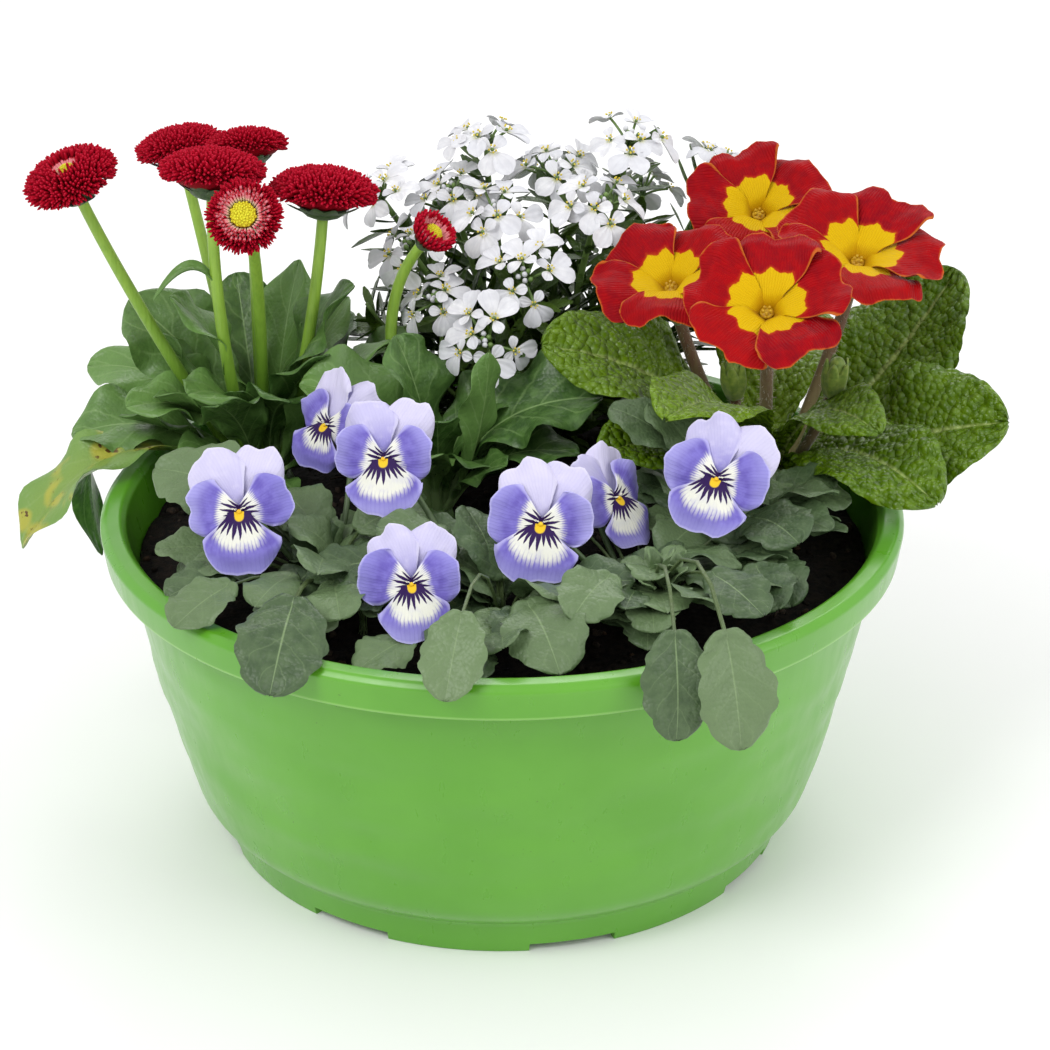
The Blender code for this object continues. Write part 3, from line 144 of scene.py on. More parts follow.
# Leaves by plant: x, y and z of the tip, arch, width, roll. The first of each plant stand where the solids
# have theirs, and the last ones cover soil that would be bare.
LEAVES = {
    "primrose_plant": [
        (13, 16, 166, 12, 46, -28), (53, -32, 163, 14, 38, -20), (122, -30.1, 154, 16, 26, 20),
        (158, 66, 176, -6, 46, 26), (170, 2, 144, 4, 48, 38), (141, -34, 133, 14, 38, 16),
        (33, -18, 144, 8, 30, -24), (106, 118, 142, 18, 40, 10), (94.5, 118.6, 140, 16, 38, 20),
    ],
    "daisy_plant_1": [
        (-168, 8, 98, 22, 30, -4), (-150, 36, 127, 10, 32, -22), (-146, 60, 68, 40, 20, 0),
        (-148, 74, 136, 14, 26, -20), (-131, 66, 165, 8, 36, -30), (-111, 34, 179, 8, 27, -16),
        (-95, 86, 168, 3, 28, -10), (-72, 68, 179, 2, 24, -10), (-52.3, 39.9, 181, 6, 33, 22),
        (-105, 6, 154, 12, 22, -20), (-71, 12, 149, 10, 24, -10), (-141.1, 69.2, 127, 10, 20, 10),
        (-38, 46.9, 141.8, 8.8, 21.8, -17), (-112.5, 90, 138.3, 5.9, 24.1, -1),
        (-93.9, 2.6, 150.5, 5.2, 21.8, 15), (-53.9, 86.3, 151.5, 4.5, 22.6, 4),
        (-128, 20, 142, 12, 24, -16), (-60, 22, 162, 8, 22, 14), (-78, 102, 138, 10, 26, 6),
        (-104, 96, 132, 12, 24, -8), (-40, 84, 132, 12, 24, 10),
    ],
    "daisy_plant_2": [
        (-68, 16, 155, 12, 38, -26), (-4.8, 2.1, 170, -4, 16, -20), (-21.5, -7.2, 151, 6, 17, 10),
        (34, 14, 148, 14, 38, 24), (-35.6, 20.4, 169, 4, 32, 0), (6, 34, 150, 10, 24, 10),
        (26, 2, 134, 9, 24, 12), (-2, -4, 130, 9, 20, -10),
    ],
    "violet_plant_1": [
        (-113, -24, 139, 12, 32, -24), (-106, -50, 117, 10, 23, -10), (-101, -97, 119, 11, 20, -6),
        (-69, -131, 115, 17, 29, -8), (-69, -50, 132, 8, 20, -14), (-24, -35.3, 129.1, 11.5, 21.4, 17),
        (-72.8, -22.5, 131.2, 9.2, 22.4, -15), (-41.4, -71.3, 119.6, 8.6, 17.1, -11),
        (-50, -100, 124, 7, 20, 6), (-72, -92, 116, 5, 19, -10), (-98, -62, 122, 6, 20, -12),
        (-112, -46, 121, 6, 19, -12), (-106, -74, 119, 6, 19, -8),
    ],
    "violet_plant_2": [
        (-62.2, -68.2, 122, 12, 22, -14), (-17, -138, 115, 28, 21, 0), (-3, -48, 134, 10, 23, 10),
        (17, -122, 115, 14, 27, 10), (-39.5, -63.8, 139, 8, 22, -12),
        (33.9, -82.5, 113.8, 9.6, 17.5, -10), (-22.1, -60.5, 127, 7.7, 19.7, 0),
        (-2.5, -105.5, 119.3, 5.9, 17.1, -9), (-52, -86, 124, 6, 18, -12), (-12, -122, 112, 6, 17, -6),
        (-44, -114, 113, 6, 18, -12), (6, -112, 122, 7, 18, 0), (-12, -52, 138, 8, 22, 12),
    ],
    "violet_plant_3": [
        (21, -108.5, 128, 12, 21, -14), (52.4, -141, 103, 36, 23, 0), (71, -141, 100, 40, 26, 0),
        (79, -106, 126, 14, 20, 12), (57, -54, 127, 4, 15, 0), (75.7, -70.7, 127.6, 10.8, 17.2, -11),
        (35.8, -48.4, 117.2, 3.6, 16.5, -11), (45.5, -88.9, 129.7, 8.9, 16.2, -9),
        (46, -106, 122, 7, 18, 0), (30, -94, 126, 6, 18, -8), (18, -14, 130, 8, 20, 8),
        (2, -26, 134, 8, 20, -8),
    ],
    "violet_plant_4": [
        (94, -62, 130, 10, 26, 16), (90.5, -75.6, 115, 12, 21, 14), (36, -10, 157, 10, 21, -14),
        (49, -8, 157, 8, 22, -8), (103.8, -25.6, 126.9, 7.8, 18.3, 12),
        (46.8, -3.5, 125.1, 5.9, 17, -5), (84, -92, 124, 7, 20, 10), (106, -46, 128, 8, 20, 12),
        (116, -18, 127, 8, 20, 12), (100, 2, 124, 6, 18, 10),
    ],
}

# Small leaves low in each plant, which the solids leave out: count, least and greatest reach, least and
# greatest height of the tip above the crown, least and greatest width, seed
UNDERGROWTH = {
    "violet_plant_1": (44, 12, 54, 3, 22, 13, 23, 11),
    "violet_plant_2": (44, 12, 52, 3, 20, 13, 23, 12),
    "violet_plant_3": (40, 12, 48, 3, 20, 12, 22, 13),
    "violet_plant_4": (36, 14, 48, 3, 24, 12, 22, 14),
    "daisy_plant_1": (22, 24, 58, 8, 56, 13, 22, 15),
    "daisy_plant_2": (9, 20, 40, 6, 34, 12, 18, 16),
}

# Small upright shoots by plant: place of their foot, count, least and greatest height, width, seed
SHOOTS = {
    "violet_plant_3": ((50, -76), 16, 12, 30, 8, 21),
    "violet_plant_1": ((-44, -78), 11, 8, 20, 6, 22),
    "violet_plant_4": ((62, -28), 9, 12, 26, 7, 23),
    "violet_plant_2": ((6, -96), 9, 6, 16, 7, 24),
}

# How each kind of leaf differs: petiole share (a violet's depends on its blade), petiole half-width share,
# place and roundness of the broadest part, fold, teeth, depth of teeth, ruffles, height of ruffles, side
# veins, height of the quilting between them and the width that it is given for, thickness, rows, columns
KINDS = {
    "daisy": (0.20, 0.14, 1.70, 0.62, 15, 5, 0.05, 2.6, 0.27, 5, 0.85, 40, 0.7, 32, 18),
    "violet": (None, 0.05, 1.15, 0.46, 7, 5, 0.10, 1.6, 0.17, 4.5, 0.85, 24, 0.55, 27, 15),
    "primrose": (0.10, 0.13, 1.40, 0.55, 12, 15, 0.035, 2.2, 0.17, 9, 1.7, 40, 0.8, 58, 30),
}
VIOLET_BLADE = 1.25
VIOLET_PETIOLES = (0.25, 0.75)
SMALL_DETAIL, SHOOT_DETAIL = 0.62, 0.55

# Violet petals: direction from the bloom's right, length and width as shares of the bloom's width, how far
# the petal stands in front, how far its tip leans back as a share of its length, slot
VIOLET_PETALS = [
    (62, 0.65, 0.52, -3.4, 0.10, 0),
    (118, 0.65, 0.52, -1.9, 0.07, 0),
    (15, 0.49, 0.51, 0.2, 0.03, 1),
    (165, 0.49, 0.51, 0.3, 0.03, 1),
    (270, 0.55, 0.69, 1.5, -0.08, 2),
]


# Geometry


def crown_place(plant, depth):
    """The middle of a plant's crown in metres, depth below its top."""
    x, y, _ = CROWNS[plant]
    return np.array((x * MM, y * MM, CROWN_TOP - depth))


def unit(vectors):
    """The vectors at length one."""
    return vectors / (np.linalg.norm(vectors, axis=-1, keepdims=True) + 1e-12)


def stack(x, y, z):
    """Vectors from their three parts, which may be numbers or arrays."""
    return np.stack(np.broadcast_arrays(x, y, z), axis=-1)


def compass(turn):
    """The level unit vector at a turn in radians."""
    return np.array((math.cos(turn), math.sin(turn), 0))


def turned(turn):
    """The matrix that turns points about +Z by radians."""
    c, s = math.cos(turn), math.sin(turn)
    return np.array(((c, -s, 0), (s, c, 0), (0, 0, 1)))


def facing(lean, direction):
    """The unit vector that leans from the vertical by lean degrees towards direction degrees."""
    tilt = math.radians(lean)
    return compass(math.radians(direction)) * math.sin(tilt) + UP * math.cos(tilt)


def place_mm(place):
    return np.array(place, float) * MM


def spot(place, lean, direction):
    """A flower's place in metres and its axis."""
    return place_mm(place), facing(lean, direction)


def stand(place, axis, turn=0.0):
    """Where a flower modelled along +Z goes, as a place and a turn: along axis, its own -Y side low."""
    side = np.cross(UP, axis)
    side = unit(side) if np.linalg.norm(side) > 1e-4 else np.array((1.0, 0, 0))
    matrix = np.stack((side, np.cross(axis, side), axis), axis=1)
    return np.asarray(place), matrix @ turned(math.radians(turn))


def placed(points, seat):
    """Points of a flower's own frame, moved to its seat."""
    place, turn = seat
    return np.asarray(points) @ turn.T + place


def bezier(start, middle, end, u):
    """Points of a quadratic curve, at the shares u or at u even steps."""
    u = np.linspace(0, 1, u) if isinstance(u, int) else u
    u = np.reshape(u, (-1, 1))
    return start * (1 - u) ** 2 + middle * 2 * u * (1 - u) + end * u**2


def part_way(path, at):
    """The place at a whole or broken number of points along path, and the path's next step from there."""
    i = int(at)
    step = path[min(i + 1, len(path) - 1)] - path[i]
    return path[i] + step * (at - i), step


def strip(path, over, half, columns):
    """A flat blade along path: half is its half-width, and over the way across it."""
    return path[:, None] + over * (half[:, None] * np.linspace(-1, 1, columns))[..., None]


def stem_curve(plant, top, axis, pull):
    """Start, control and end point of a stem that meets its flower along the flower's axis."""
    depth, share = STEM_ROOT
    start = crown_place(plant, depth)
    towards = (top - start) * (1, 1, 0)
    inset = min(CROWNS[plant][2] * share * MM, np.linalg.norm(towards))
    return start + unit(towards) * inset, top - axis * pull, top


def smooth(low, high, x):
    """0 below low, 1 above high, and a soft step between."""
    t = np.clip((np.asarray(x, float) - low) / (high - low), 0, 1)
    return t * t * (3 - 2 * t)


def quads(ids):
    """The faces between the rows and columns of a grid of point numbers."""
    return np.stack((ids[:-1, :-1], ids[:-1, 1:], ids[1:, 1:], ids[1:, :-1]), axis=-1).reshape(-1, 4)


class Piece:
    """Gathers the faces of one object. Each point also has a blade vector: place across, along, and shade."""

    SHARP = math.radians(100)

    def __init__(self):
        self.points, self.blade, self.faces, self.slots = [], [], [], []
        self.count = 0

    def add(self, points, blade, slot, *groups):
        """Adds points with their blade vectors, and groups of faces of one size that count from the first."""
        self.points.append(points)
        self.blade.append(np.broadcast_to(np.asarray(blade, float), points.shape))
        for faces in groups:
            self.faces.append(np.asarray(faces + self.count, np.int32))
            self.slots.append(np.broadcast_to(slot, len(faces)))
        self.count += len(points)

    def shell(self, rings, ends, blade, slot, flip=False):
        """A closed skin over rings of points, with one point at each end. Flip turns its faces over."""
        rows, columns = rings.shape[:2]
        last = rows * columns
        ids = np.arange(last).reshape(rows, columns)
        ids = np.concatenate((ids, ids[:, :1]), axis=1)
        low, high = stack(last, ids[0, 1:], ids[0, :-1]), stack(last + 1, ids[-1, :-1], ids[-1, 1:])
        groups = [quads(ids), np.concatenate((low, high))]
        if flip:
            groups = [faces[:, ::-1] for faces in groups]
        self.add(np.concatenate((rings.reshape(-1, 3), ends)), blade, slot, *groups)

    def plate(self, grid, thick, blade, slot, under=None):
        """A thin closed leaf or petal: both faces stand half of thick off the grid and meet at its edges."""
        rows, columns = grid.shape[:2]
        normal = unit(np.cross(np.gradient(grid, axis=1), np.gradient(grid, axis=0)))
        off = normal * np.broadcast_to(thick, (rows, columns))[..., None] / 2
        top = grid.copy()
        top[1:-1, 1:-1] += off[1:-1, 1:-1]
        upper = np.arange(rows * columns).reshape(rows, columns)
        lower = upper.copy()
        lower[1:-1, 1:-1] = rows * columns + np.arange((rows - 2) * (columns - 2)).reshape(rows - 2, -1)
        low = (grid - off)[1:-1, 1:-1]
        points = np.concatenate((top.reshape(-1, 3), low.reshape(-1, 3)))
        blade = np.broadcast_to(blade, grid.shape)
        blade = np.concatenate((blade.reshape(-1, 3), blade[1:-1, 1:-1].reshape(-1, 3)))
        self.add(points, blade, slot, quads(upper), quads(lower)[:, ::-1])
        if under is not None:
            self.slots[-1] = np.broadcast_to(under, len(self.faces[-1]))

    def tube(self, path, radius, slot, sides=8, shade=0.5):
        """A closed round bar along path, whose radius may change along it."""
        count = len(path)
        radius = np.broadcast_to(radius, count)
        along = unit(np.gradient(path, axis=0))
        side = np.zeros_like(path)
        first = UP if abs(along[0][2]) < 0.9 else np.array((1.0, 0, 0))
        side[0] = unit(np.cross(along[0], first))
        for i in range(1, count):
            side[i] = unit(side[i - 1] - along[i] * np.dot(side[i - 1], along[i]))
        other = np.cross(along, side)
        turn = np.arange(sides) * math.tau / sides
        ring = side[:, None] * np.cos(turn)[:, None] + other[:, None] * np.sin(turn)[:, None]
        rings = path[:, None] + ring * radius[:, None, None]
        ends = np.array((path[0] - along[0] * radius[0] * 0.3, path[-1] + along[-1] * radius[-1] * 0.3))
        blade = stack(np.cos(turn), np.linspace(0, 1, count)[:, None], shade).reshape(-1, 3)
        self.shell(rings, ends, np.concatenate((blade, ((0, 0, shade), (0, 1, shade)))), slot)

    def ball(self, centre, size, slot, turn=None, segments=12, rings=8, shade=0.5, bump=0.0):
        """A closed ball with its own size on each axis, turned by a matrix and with bumps if asked."""
        theta = np.linspace(0, math.pi, rings + 1)[1:-1, None]
        phi = np.arange(segments) * math.tau / segments
        shape = stack(np.sin(theta) * np.cos(phi), np.sin(theta) * np.sin(phi), np.cos(theta))
        shape = shape * (1 + bump * np.sin(phi * 5 + theta * 9)[..., None])
        points = np.concatenate((shape.reshape(-1, 3), (UP, -UP))) * size
        points = (points if turn is None else points @ turn.T) + centre
        blade = stack(np.zeros(segments), 1 - theta / math.pi, shade).reshape(-1, 3)
        blade = np.concatenate((blade, ((0, 1, shade), (0, 0, shade))))
        self.shell(points[:-2].reshape(shape.shape), points[-2:], blade, slot, flip=True)

    def make(self, node, kind, slot, *looks):
        """Makes the object, which rides with the model and replaces one of its nodes."""
        name = f"{node}_{kind}"
        mesh = bpy.data.meshes.new(name)
        points = np.concatenate(self.points)
        sizes = np.concatenate([np.full(len(f), f.shape[1]) for f in self.faces])
        mesh.vertices.add(len(points))
        mesh.vertices.foreach_set("co", points.astype(np.float32).ravel())
        corners = np.concatenate([f.ravel() for f in self.faces])
        mesh.loops.add(len(corners))
        mesh.loops.foreach_set("vertex_index", corners)
        mesh.polygons.add(len(sizes))
        mesh.polygons.foreach_set("loop_start", np.concatenate(((0,), np.cumsum(sizes)[:-1])))
        for look in looks:
            mesh.materials.append(LOOKS[look])
        mesh.polygons.foreach_set("material_index", np.concatenate(self.slots).astype(np.int32))
        blade = mesh.attributes.new("blade", "FLOAT_VECTOR", "POINT")
        blade.data.foreach_set("vector", np.concatenate(self.blade).astype(np.float32).ravel())
        mesh.update(calc_edges=True)
        mesh.validate()
        mesh.shade_smooth()
        mesh.set_sharp_from_angle(angle=self.SHARP)
        piece = bpy.data.objects.new(name, mesh)
        bpy.context.scene.collection.objects.link(piece)
        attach(piece, "root")
        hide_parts(node)
        return piece


# Materials

LOOKS = {}  # by name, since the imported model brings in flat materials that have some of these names


class Value:
    """A number that a node gives at each place of a surface. Sums and products of it are nodes too."""

    def __init__(self, look, socket):
        self.look, self.socket = look, socket

    def maths(self, operation, other=0.0):
        return self.look.node("ShaderNodeMath", {0: self, 1: other}, operation=operation)

    def __add__(self, other):
        return self.maths("ADD", other)

    def __sub__(self, other):
        return self.maths("SUBTRACT", other)

    def __mul__(self, other):
        return self.maths("MULTIPLY", other)

    def __abs__(self):
        return self.maths("ABSOLUTE")

    def step(self, low, high, start=0.0, end=1.0):
        """A soft step from start at low to end at high."""
        inputs = {0: self, 1: low, 2: high, 3: start, 4: end}
        return self.look.node("ShaderNodeMapRange", inputs, interpolation_type="SMOOTHSTEP")

    def band(self):
        """How far the value lies from the middle between two whole numbers."""
        return abs(self.maths("FRACT") - 0.5)


class Look:
    """A material under construction. Each method adds a node and gives back what comes out of it."""

    def __init__(self, name, roughness, **values):
        self.material = LOOKS[name] = bpy.data.materials.new(name)
        self.material.use_nodes = True
        self.tree = self.material.node_tree
        self.shader = self.tree.nodes["Principled BSDF"]
        self.shader.inputs["Roughness"].default_value = roughness
        for socket, value in values.items():
            self.shader.inputs[socket.replace("_", " ")].default_value = value

    def node(self, kind, inputs, output=0, **settings):
        node = self.tree.nodes.new(kind)
        for key, value in settings.items():
            setattr(node, key, value)
        for key, value in inputs.items():
            if isinstance(value, Value):
                self.tree.links.new(value.socket, node.inputs[key])
            else:
                node.inputs[key].default_value = value
        return Value(self, node.outputs[output])

    def parts(self, vector):
        """The three parts of a vector."""
        first = self.node("ShaderNodeSeparateXYZ", {0: vector})
        return [Value(self, socket) for socket in first.socket.node.outputs]

    def axes(self):
        """Place across, place along and shade, from the blade vector."""
        return self.parts(self.node("ShaderNodeAttribute", {}, "Vector", attribute_name="blade"))

    def where(self):
        return self.node("ShaderNodeTexCoord", {}, "Object")

    def mix(self, share, first, second):
        first, second = (c if isinstance(c, Value) else (*c, 1.0) for c in (first, second))
        return self.node("ShaderNodeMix", {0: share, 6: first, 7: second}, 2, data_type="RGBA")

    def noise(self, scale, detail=3.0, stretch=None):
        """Noise from 0 to 1 over the object's own place, in waves per metre."""
        vector = self.where()
        if stretch:
            vector = self.node("ShaderNodeMapping", {0: vector, "Scale": stretch})
        return self.node("ShaderNodeTexNoise", {"Vector": vector, "Scale": scale, "Detail": detail})

    def cells(self, scale):
        """Distances in a cell pattern over the object's own place."""
        return self.node("ShaderNodeTexVoronoi", {"Vector": self.where(), "Scale": scale}, "Distance")

    def done(self, colour, height=None, distance=0.0, roughness=None):
        """Plugs in the colour, a bump of that height in metres and a roughness."""
        plugs = {"Base Color": colour, "Roughness": roughness}
        if height is not None:
            inputs = {"Height": height, "Distance": distance, "Strength": 1.0}
            plugs["Normal"] = self.node("ShaderNodeBump", inputs)
        for name, value in plugs.items():
            if value is not None:
                self.tree.links.new(value.socket, self.shader.inputs[name])


def plastic_look():
    """Lime-green moulded plastic: a soft mottle, fine scratches, a painted highlight line round the rim
    band's lower edge and specks of soil.
    """
    look = Look("bowl_plastic", 0.3, Coat_Weight=0.25, Coat_Roughness=0.22)
    cloud = look.noise(22, 4)
    green = look.mix(cloud.step(0.35, 0.7), (0.092, 0.318, 0.014), (0.108, 0.352, 0.020))
    speck = look.noise(900, 2).step(0.73, 0.77) * cloud.step(0.5, 0.62)
    green = look.mix(speck * 0.75, green, (0.035, 0.030, 0.012))
    x, y, z = look.parts(look.where())
    # Painted highlight: a pale line round the outside of the rim band's lower edge
    painted_highlight = abs(z - BAND_HIGHLIGHT_HEIGHT).step(BAND_HIGHLIGHT_REACH, 0.0003)
    painted_highlight = painted_highlight * (x * x + y * y).step(0.130**2, 0.132**2)
    green = look.mix(painted_highlight * 0.55, green, (0.26, 0.52, 0.12))
    grain = look.noise(180, 5, (1, 1, 0.3))
    look.done(green, grain, 0.00005, grain.step(0.3, 0.75, 0.27, 0.38))


def soil_look():
    """Near-black damp peat with brown crumbs."""
    look = Look("peat", 0.95, Specular_IOR_Level=0.25)
    crumb = look.noise(420, 6)
    dark = look.mix(crumb.step(0.35, 0.7), (0.0025, 0.0020, 0.0016), (0.014, 0.009, 0.006))
    dark = look.mix(look.axes()[2].step(0.9, 0.97), dark, (0.06, 0.035, 0.02))
    look.done(dark, crumb, 0.0012)


def leaf_look(
    name, deep, light, vein, veins, slant, width, rough, patches=None, quilt=0.0002, net=800, lines=0.4,
    stem=None, mottle=0.45, crumple=1.0, midrib=0.055,
):
    """A leaf: greens that vary from leaf to leaf, a pale midrib and pale side veins, and fine wrinkles."""
    look = Look(name, rough, Specular_IOR_Level=0.4)
    across, along, shade = look.axes()
    side, wander = abs(across), look.noise(260, 3)
    green = look.mix(wander.step(0.3, 0.72, 0.0, mottle), deep, light)
    green = look.mix(shade.step(0.1, 0.95, 0.0, 0.9), green, light)
    line = (along * veins - side * slant + wander * 0.35).band().step(width, 0.0) * side.step(1.0, 0.55)
    rib = side.step(along * (-0.6 * midrib) + midrib, 0.0)
    green = look.mix(rib.maths("MAXIMUM", line * lines), green, vein)
    green = look.mix(along.step(0.06, -0.05), green, stem or vein)
    if patches:
        old = shade.step(0.93, 0.96)
        green = look.mix(old * side.step(1.1, 0.1, 0.2, 0.6), green, patches[0])
        spot = look.noise(60, 2).step(0.50, 0.60) * old * along.step(0.10, 0.3)
        green = look.mix(spot, green, patches[1])
        green = look.mix(look.noise(420, 2).step(0.60, 0.66) * spot, green, patches[2])
    cell = look.cells(net)
    look.done(green, wander * crumple - cell * cell, quilt)


def stem_look(name, low, high, fuzz=0.0, rough=0.45):
    """A stem that changes from low to high colour along it, with fine ribs."""
    look = Look(name, rough, Sheen_Weight=fuzz, Sheen_Roughness=0.4)
    grain = look.noise(900, 3, (1, 1, 0.12))
    colour = look.mix(look.axes()[1].step(0.1, 0.8), low, high)
    look.done(look.mix(grain.step(0.35, 0.75, 0, 0.35), colour, low), grain, 0.0003)


def floret_look(name, base, tip, end, early=0.0):
    """Quilled florets: base colour at the foot, tip colour higher up and end colour towards the end."""
    look = Look(name, 0.7, Specular_IOR_Level=0.08)
    _, along, shade = look.axes()
    colour = look.mix(along.step(0.15 - early / 2, 0.75 - early), base, tip)
    colour = look.mix(along.step(0.82 - early, 1.0 - early), colour, end)
    look.done(look.mix(shade * (0.35 - early), colour, base), look.noise(1500, 2), 0.0002)


def plain_look(name, dark, light, scale=500, rough=0.6, height=0.0003, detail=4, low=0.3, **values):
    """A surface whose colour varies softly between two shades."""
    look = Look(name, rough, **values)
    grain = look.noise(scale, detail)
    look.done(look.mix(grain.step(low, 0.7), dark, light), grain, height)


def primrose_petal_look():
    """Red with orange-red veining, a thin gold margin and a yellow star at the throat."""
    look = Look("primrose_petal", 0.55, Specular_IOR_Level=0.08, Sheen_Weight=0.02, Sheen_Roughness=0.35)
    across, along, shade = look.axes()
    side, wander = abs(across), look.noise(300, 4)
    red = look.mix(wander.step(0.3, 0.72), (0.225, 0.000, 0.006), (0.330, 0.000, 0.004))
    red = look.mix(shade * 0.5, red, (0.410, 0.003, 0.001))
    line = (across * along.step(-0.2, 1.1, 6.0, 17.0) + wander * 1.2).band()
    red = look.mix(line.step(0.16, 0.0, 0, 0.13), red, (0.52, 0.030, 0.004))
    margin, rim = (wander * 0.05 + side).step(0.985, 1.02), (wander * 0.05 + along).step(0.995, 1.03)
    red = look.mix(margin.maths("MAXIMUM", rim) * 0.42, red, (0.72, 0.26, 0.03))
    teeth = (across * 1.5 + 0.5).maths("PINGPONG", 0.5)
    past = along - (teeth * 0.14 - side * side * 0.14 + wander * 0.10 + 0.35)
    colour = look.mix(past.step(0.05, -0.01), red, (0.42, 0.030, 0.004))
    yellow = look.mix(along.step(0.02, 0.17), (0.45, 0.21, 0.001), (0.63, 0.40, 0.001))
    yellow = look.mix(line.step(0.2, 0.0, 0, 0.35), yellow, (0.60, 0.33, 0.001))
    colour = look.mix(past.step(0.006, -0.012), colour, yellow)
    look.done(colour, line.step(0.0, 0.4) * 0.4 + wander * 0.5, 0.0003)


def primrose_back_look():
    """The darker, duller back of the red petals."""
    look = Look("primrose_back", 0.6, Specular_IOR_Level=0.15, Sheen_Weight=0.05)
    wander = look.noise(420, 4)
    red = look.mix(wander.step(0.3, 0.7), (0.16, 0.002, 0.010), (0.28, 0.008, 0.014))
    look.done(look.mix(look.axes()[1].step(0.5, 0.1), red, (0.40, 0.16, 0.03)), wander, 0.0004)


def violet_petal_look(name, kind):
    """A violet's petal, from the place across and along it: upper, side or lower."""
    look = Look(name, 0.55, Specular_IOR_Level=0.2, Sheen_Weight=0.05, Sheen_Roughness=0.35)
    across, along, shade = look.axes()
    side, wander = abs(across), look.noise(330, 3)
    hair = (across * 9.0 + wander * 0.9).band().step(0.25, 0.0)
    edge = side.step(0.90, 1.0).maths("MAXIMUM", along.step(0.94, 1.0)) * 0.5
    if kind == "upper":
        colour = look.mix(along.step(0.1, 0.75), (0.270, 0.240, 0.590), (0.500, 0.475, 0.710))
        colour = look.mix(wander.step(0.45, 0.75, 0, 0.4), colour, (0.640, 0.605, 0.790))
        colour = look.mix(shade * 0.7, colour, (0.650, 0.620, 0.780))
        colour = look.mix(hair * 0.05, colour, (0.25, 0.20, 0.60))
        return look.done(look.mix(edge, colour, (0.72, 0.70, 0.84)), hair, 0.00004)
    deep = look.mix(wander.step(0.3, 0.7), (0.125, 0.095, 0.410), (0.190, 0.160, 0.530))
    pale = look.mix(shade * 0.9, (0.210, 0.188, 0.560), (0.370, 0.350, 0.680))
    colour = look.mix(along.step(0.55, 0.95), deep, pale)
    colour = look.mix(hair * 0.09, colour, (0.10, 0.06, 0.45))
    ragged = hair * 0.07 + wander * 0.20 + along
    if kind == "lower":
        rays, longest, blotch = 4.4, 0.46, 0.95
        white = (side * side * side * 0.36 + ragged - shade * 0.24).step(0.72, 0.50)
    else:
        rays, longest, blotch = 2.6, 0.38, 0.66
        white = (ragged - shade * 0.08).step(0.52, 0.36)
    cream = look.mix(wander.step(0.4, 0.8, 0, 0.5), (0.76, 0.76, 0.68), (0.58, 0.58, 0.68))
    colour = look.mix(white, colour, cream)
    ray = (wander - 0.5) * 0.5 + across * rays
    number = ray.maths("ROUND")
    chance = look.node("ShaderNodeTexWhiteNoise", {"W": number + 3.3}, "Value", noise_dimensions="1D")
    reach = (chance * 0.22 + 0.78) * side.step(0.3, 1.1, longest, longest * 0.62)
    share = along.maths("DIVIDE", reach)
    dark = (abs(ray - number) - (share * -blotch + blotch)).step(0.05, -0.06) * share.step(1.02, 0.90)
    colour = look.mix(edge, colour, (0.62, 0.60, 0.90))
    colour = look.mix(dark, colour, (0.022, 0.004, 0.070))
    if kind == "lower":
        eye = along * along * 42.0 + side * side * 5.5
        colour = look.mix(eye.step(1.15, 0.8), colour, (0.80, 0.52, 0.02))
    look.done(colour, hair, 0.00005)


def white_petal_look():
    """Candytuft petals: white, faintly warm towards the throat, greyer on some petals as painted shade, and
    veined by fine grooves.
    """
    look = Look("candytuft_petal", 0.6, Specular_IOR_Level=0.2)
    across, along, shade = look.axes()
    white = look.mix(look.noise(300, 3).step(0.35, 0.70), (0.66, 0.66, 0.69), (0.78, 0.78, 0.80))
    white = look.mix(along.step(0.22, 0.02), white, (0.60, 0.62, 0.33))
    # Painted shade: a random share of the petals turns greyer, standing in for petals turned away from the
    # light
    white = look.mix(shade * 0.55, white, (0.56, 0.57, 0.62))
    groove = (across * 9.0).maths("SINE")
    look.done(look.mix(groove.step(0.6, 1.0, 0, 0.12), white, (0.45, 0.46, 0.52)), groove, 0.00005)


plastic_look()
soil_look()
plain_look("crumb", (0.012, 0.008, 0.005), (0.05, 0.03, 0.018), 900, 0.95)
leaf_look(
    "daisy_leaf", (0.036, 0.092, 0.016), (0.150, 0.285, 0.070), (0.23, 0.36, 0.13), 5, 1.7, 0.09, 0.36,
    ((0.21, 0.31, 0.05), (0.36, 0.36, 0.05), (0.10, 0.05, 0.01)), 0.00012,
)
stem_look("daisy_stem", (0.110, 0.240, 0.016), (0.270, 0.450, 0.048), 0.05)
plain_look("daisy_cup", (0.020, 0.048, 0.012), (0.055, 0.105, 0.026), 700, 0.6, Sheen_Weight=0.1)
floret_look("daisy_floret", (0.230, 0.000, 0.006), (0.400, 0.001, 0.015), (0.520, 0.012, 0.040))
floret_look("daisy_pink", (0.900, 0.840, 0.640), (0.740, 0.220, 0.270), (0.420, 0.001, 0.018), 0.2)
plain_look("daisy_yellow", (0.62, 0.52, 0.006), (0.78, 0.76, 0.03), 1300, 0.7, 0.0004, 3, 0.35)
leaf_look(
    "primrose_leaf", (0.064, 0.135, 0.001), (0.175, 0.300, 0.007), (0.33, 0.43, 0.12), 9, 2.6, 0.10, 0.30,
    quilt=0.0015, net=420, lines=0.10, crumple=0.15, midrib=0.11,
)
stem_look("primrose_stalk", (0.230, 0.200, 0.080), (0.170, 0.085, 0.050), 0.5, 0.6)
plain_look("calyx", (0.110, 0.190, 0.014), (0.230, 0.310, 0.040), 500, 0.55, Sheen_Weight=0.3)
plain_look("hair", (0.40, 0.36, 0.28), (0.55, 0.50, 0.42), 900)
primrose_petal_look()
primrose_back_look()
plain_look("throat", (0.40, 0.20, 0.002), (0.58, 0.36, 0.004), 900)
leaf_look(
    "candytuft_leaf", (0.014, 0.040, 0.003), (0.080, 0.150, 0.014), (0.09, 0.16, 0.03), 3, 1.0, 0.03, 0.34
)
stem_look("candytuft_stem", (0.05, 0.10, 0.02), (0.15, 0.25, 0.06))
white_petal_look()
plain_look("anther", (0.60, 0.44, 0.03), (0.72, 0.60, 0.08), 900, 0.7)
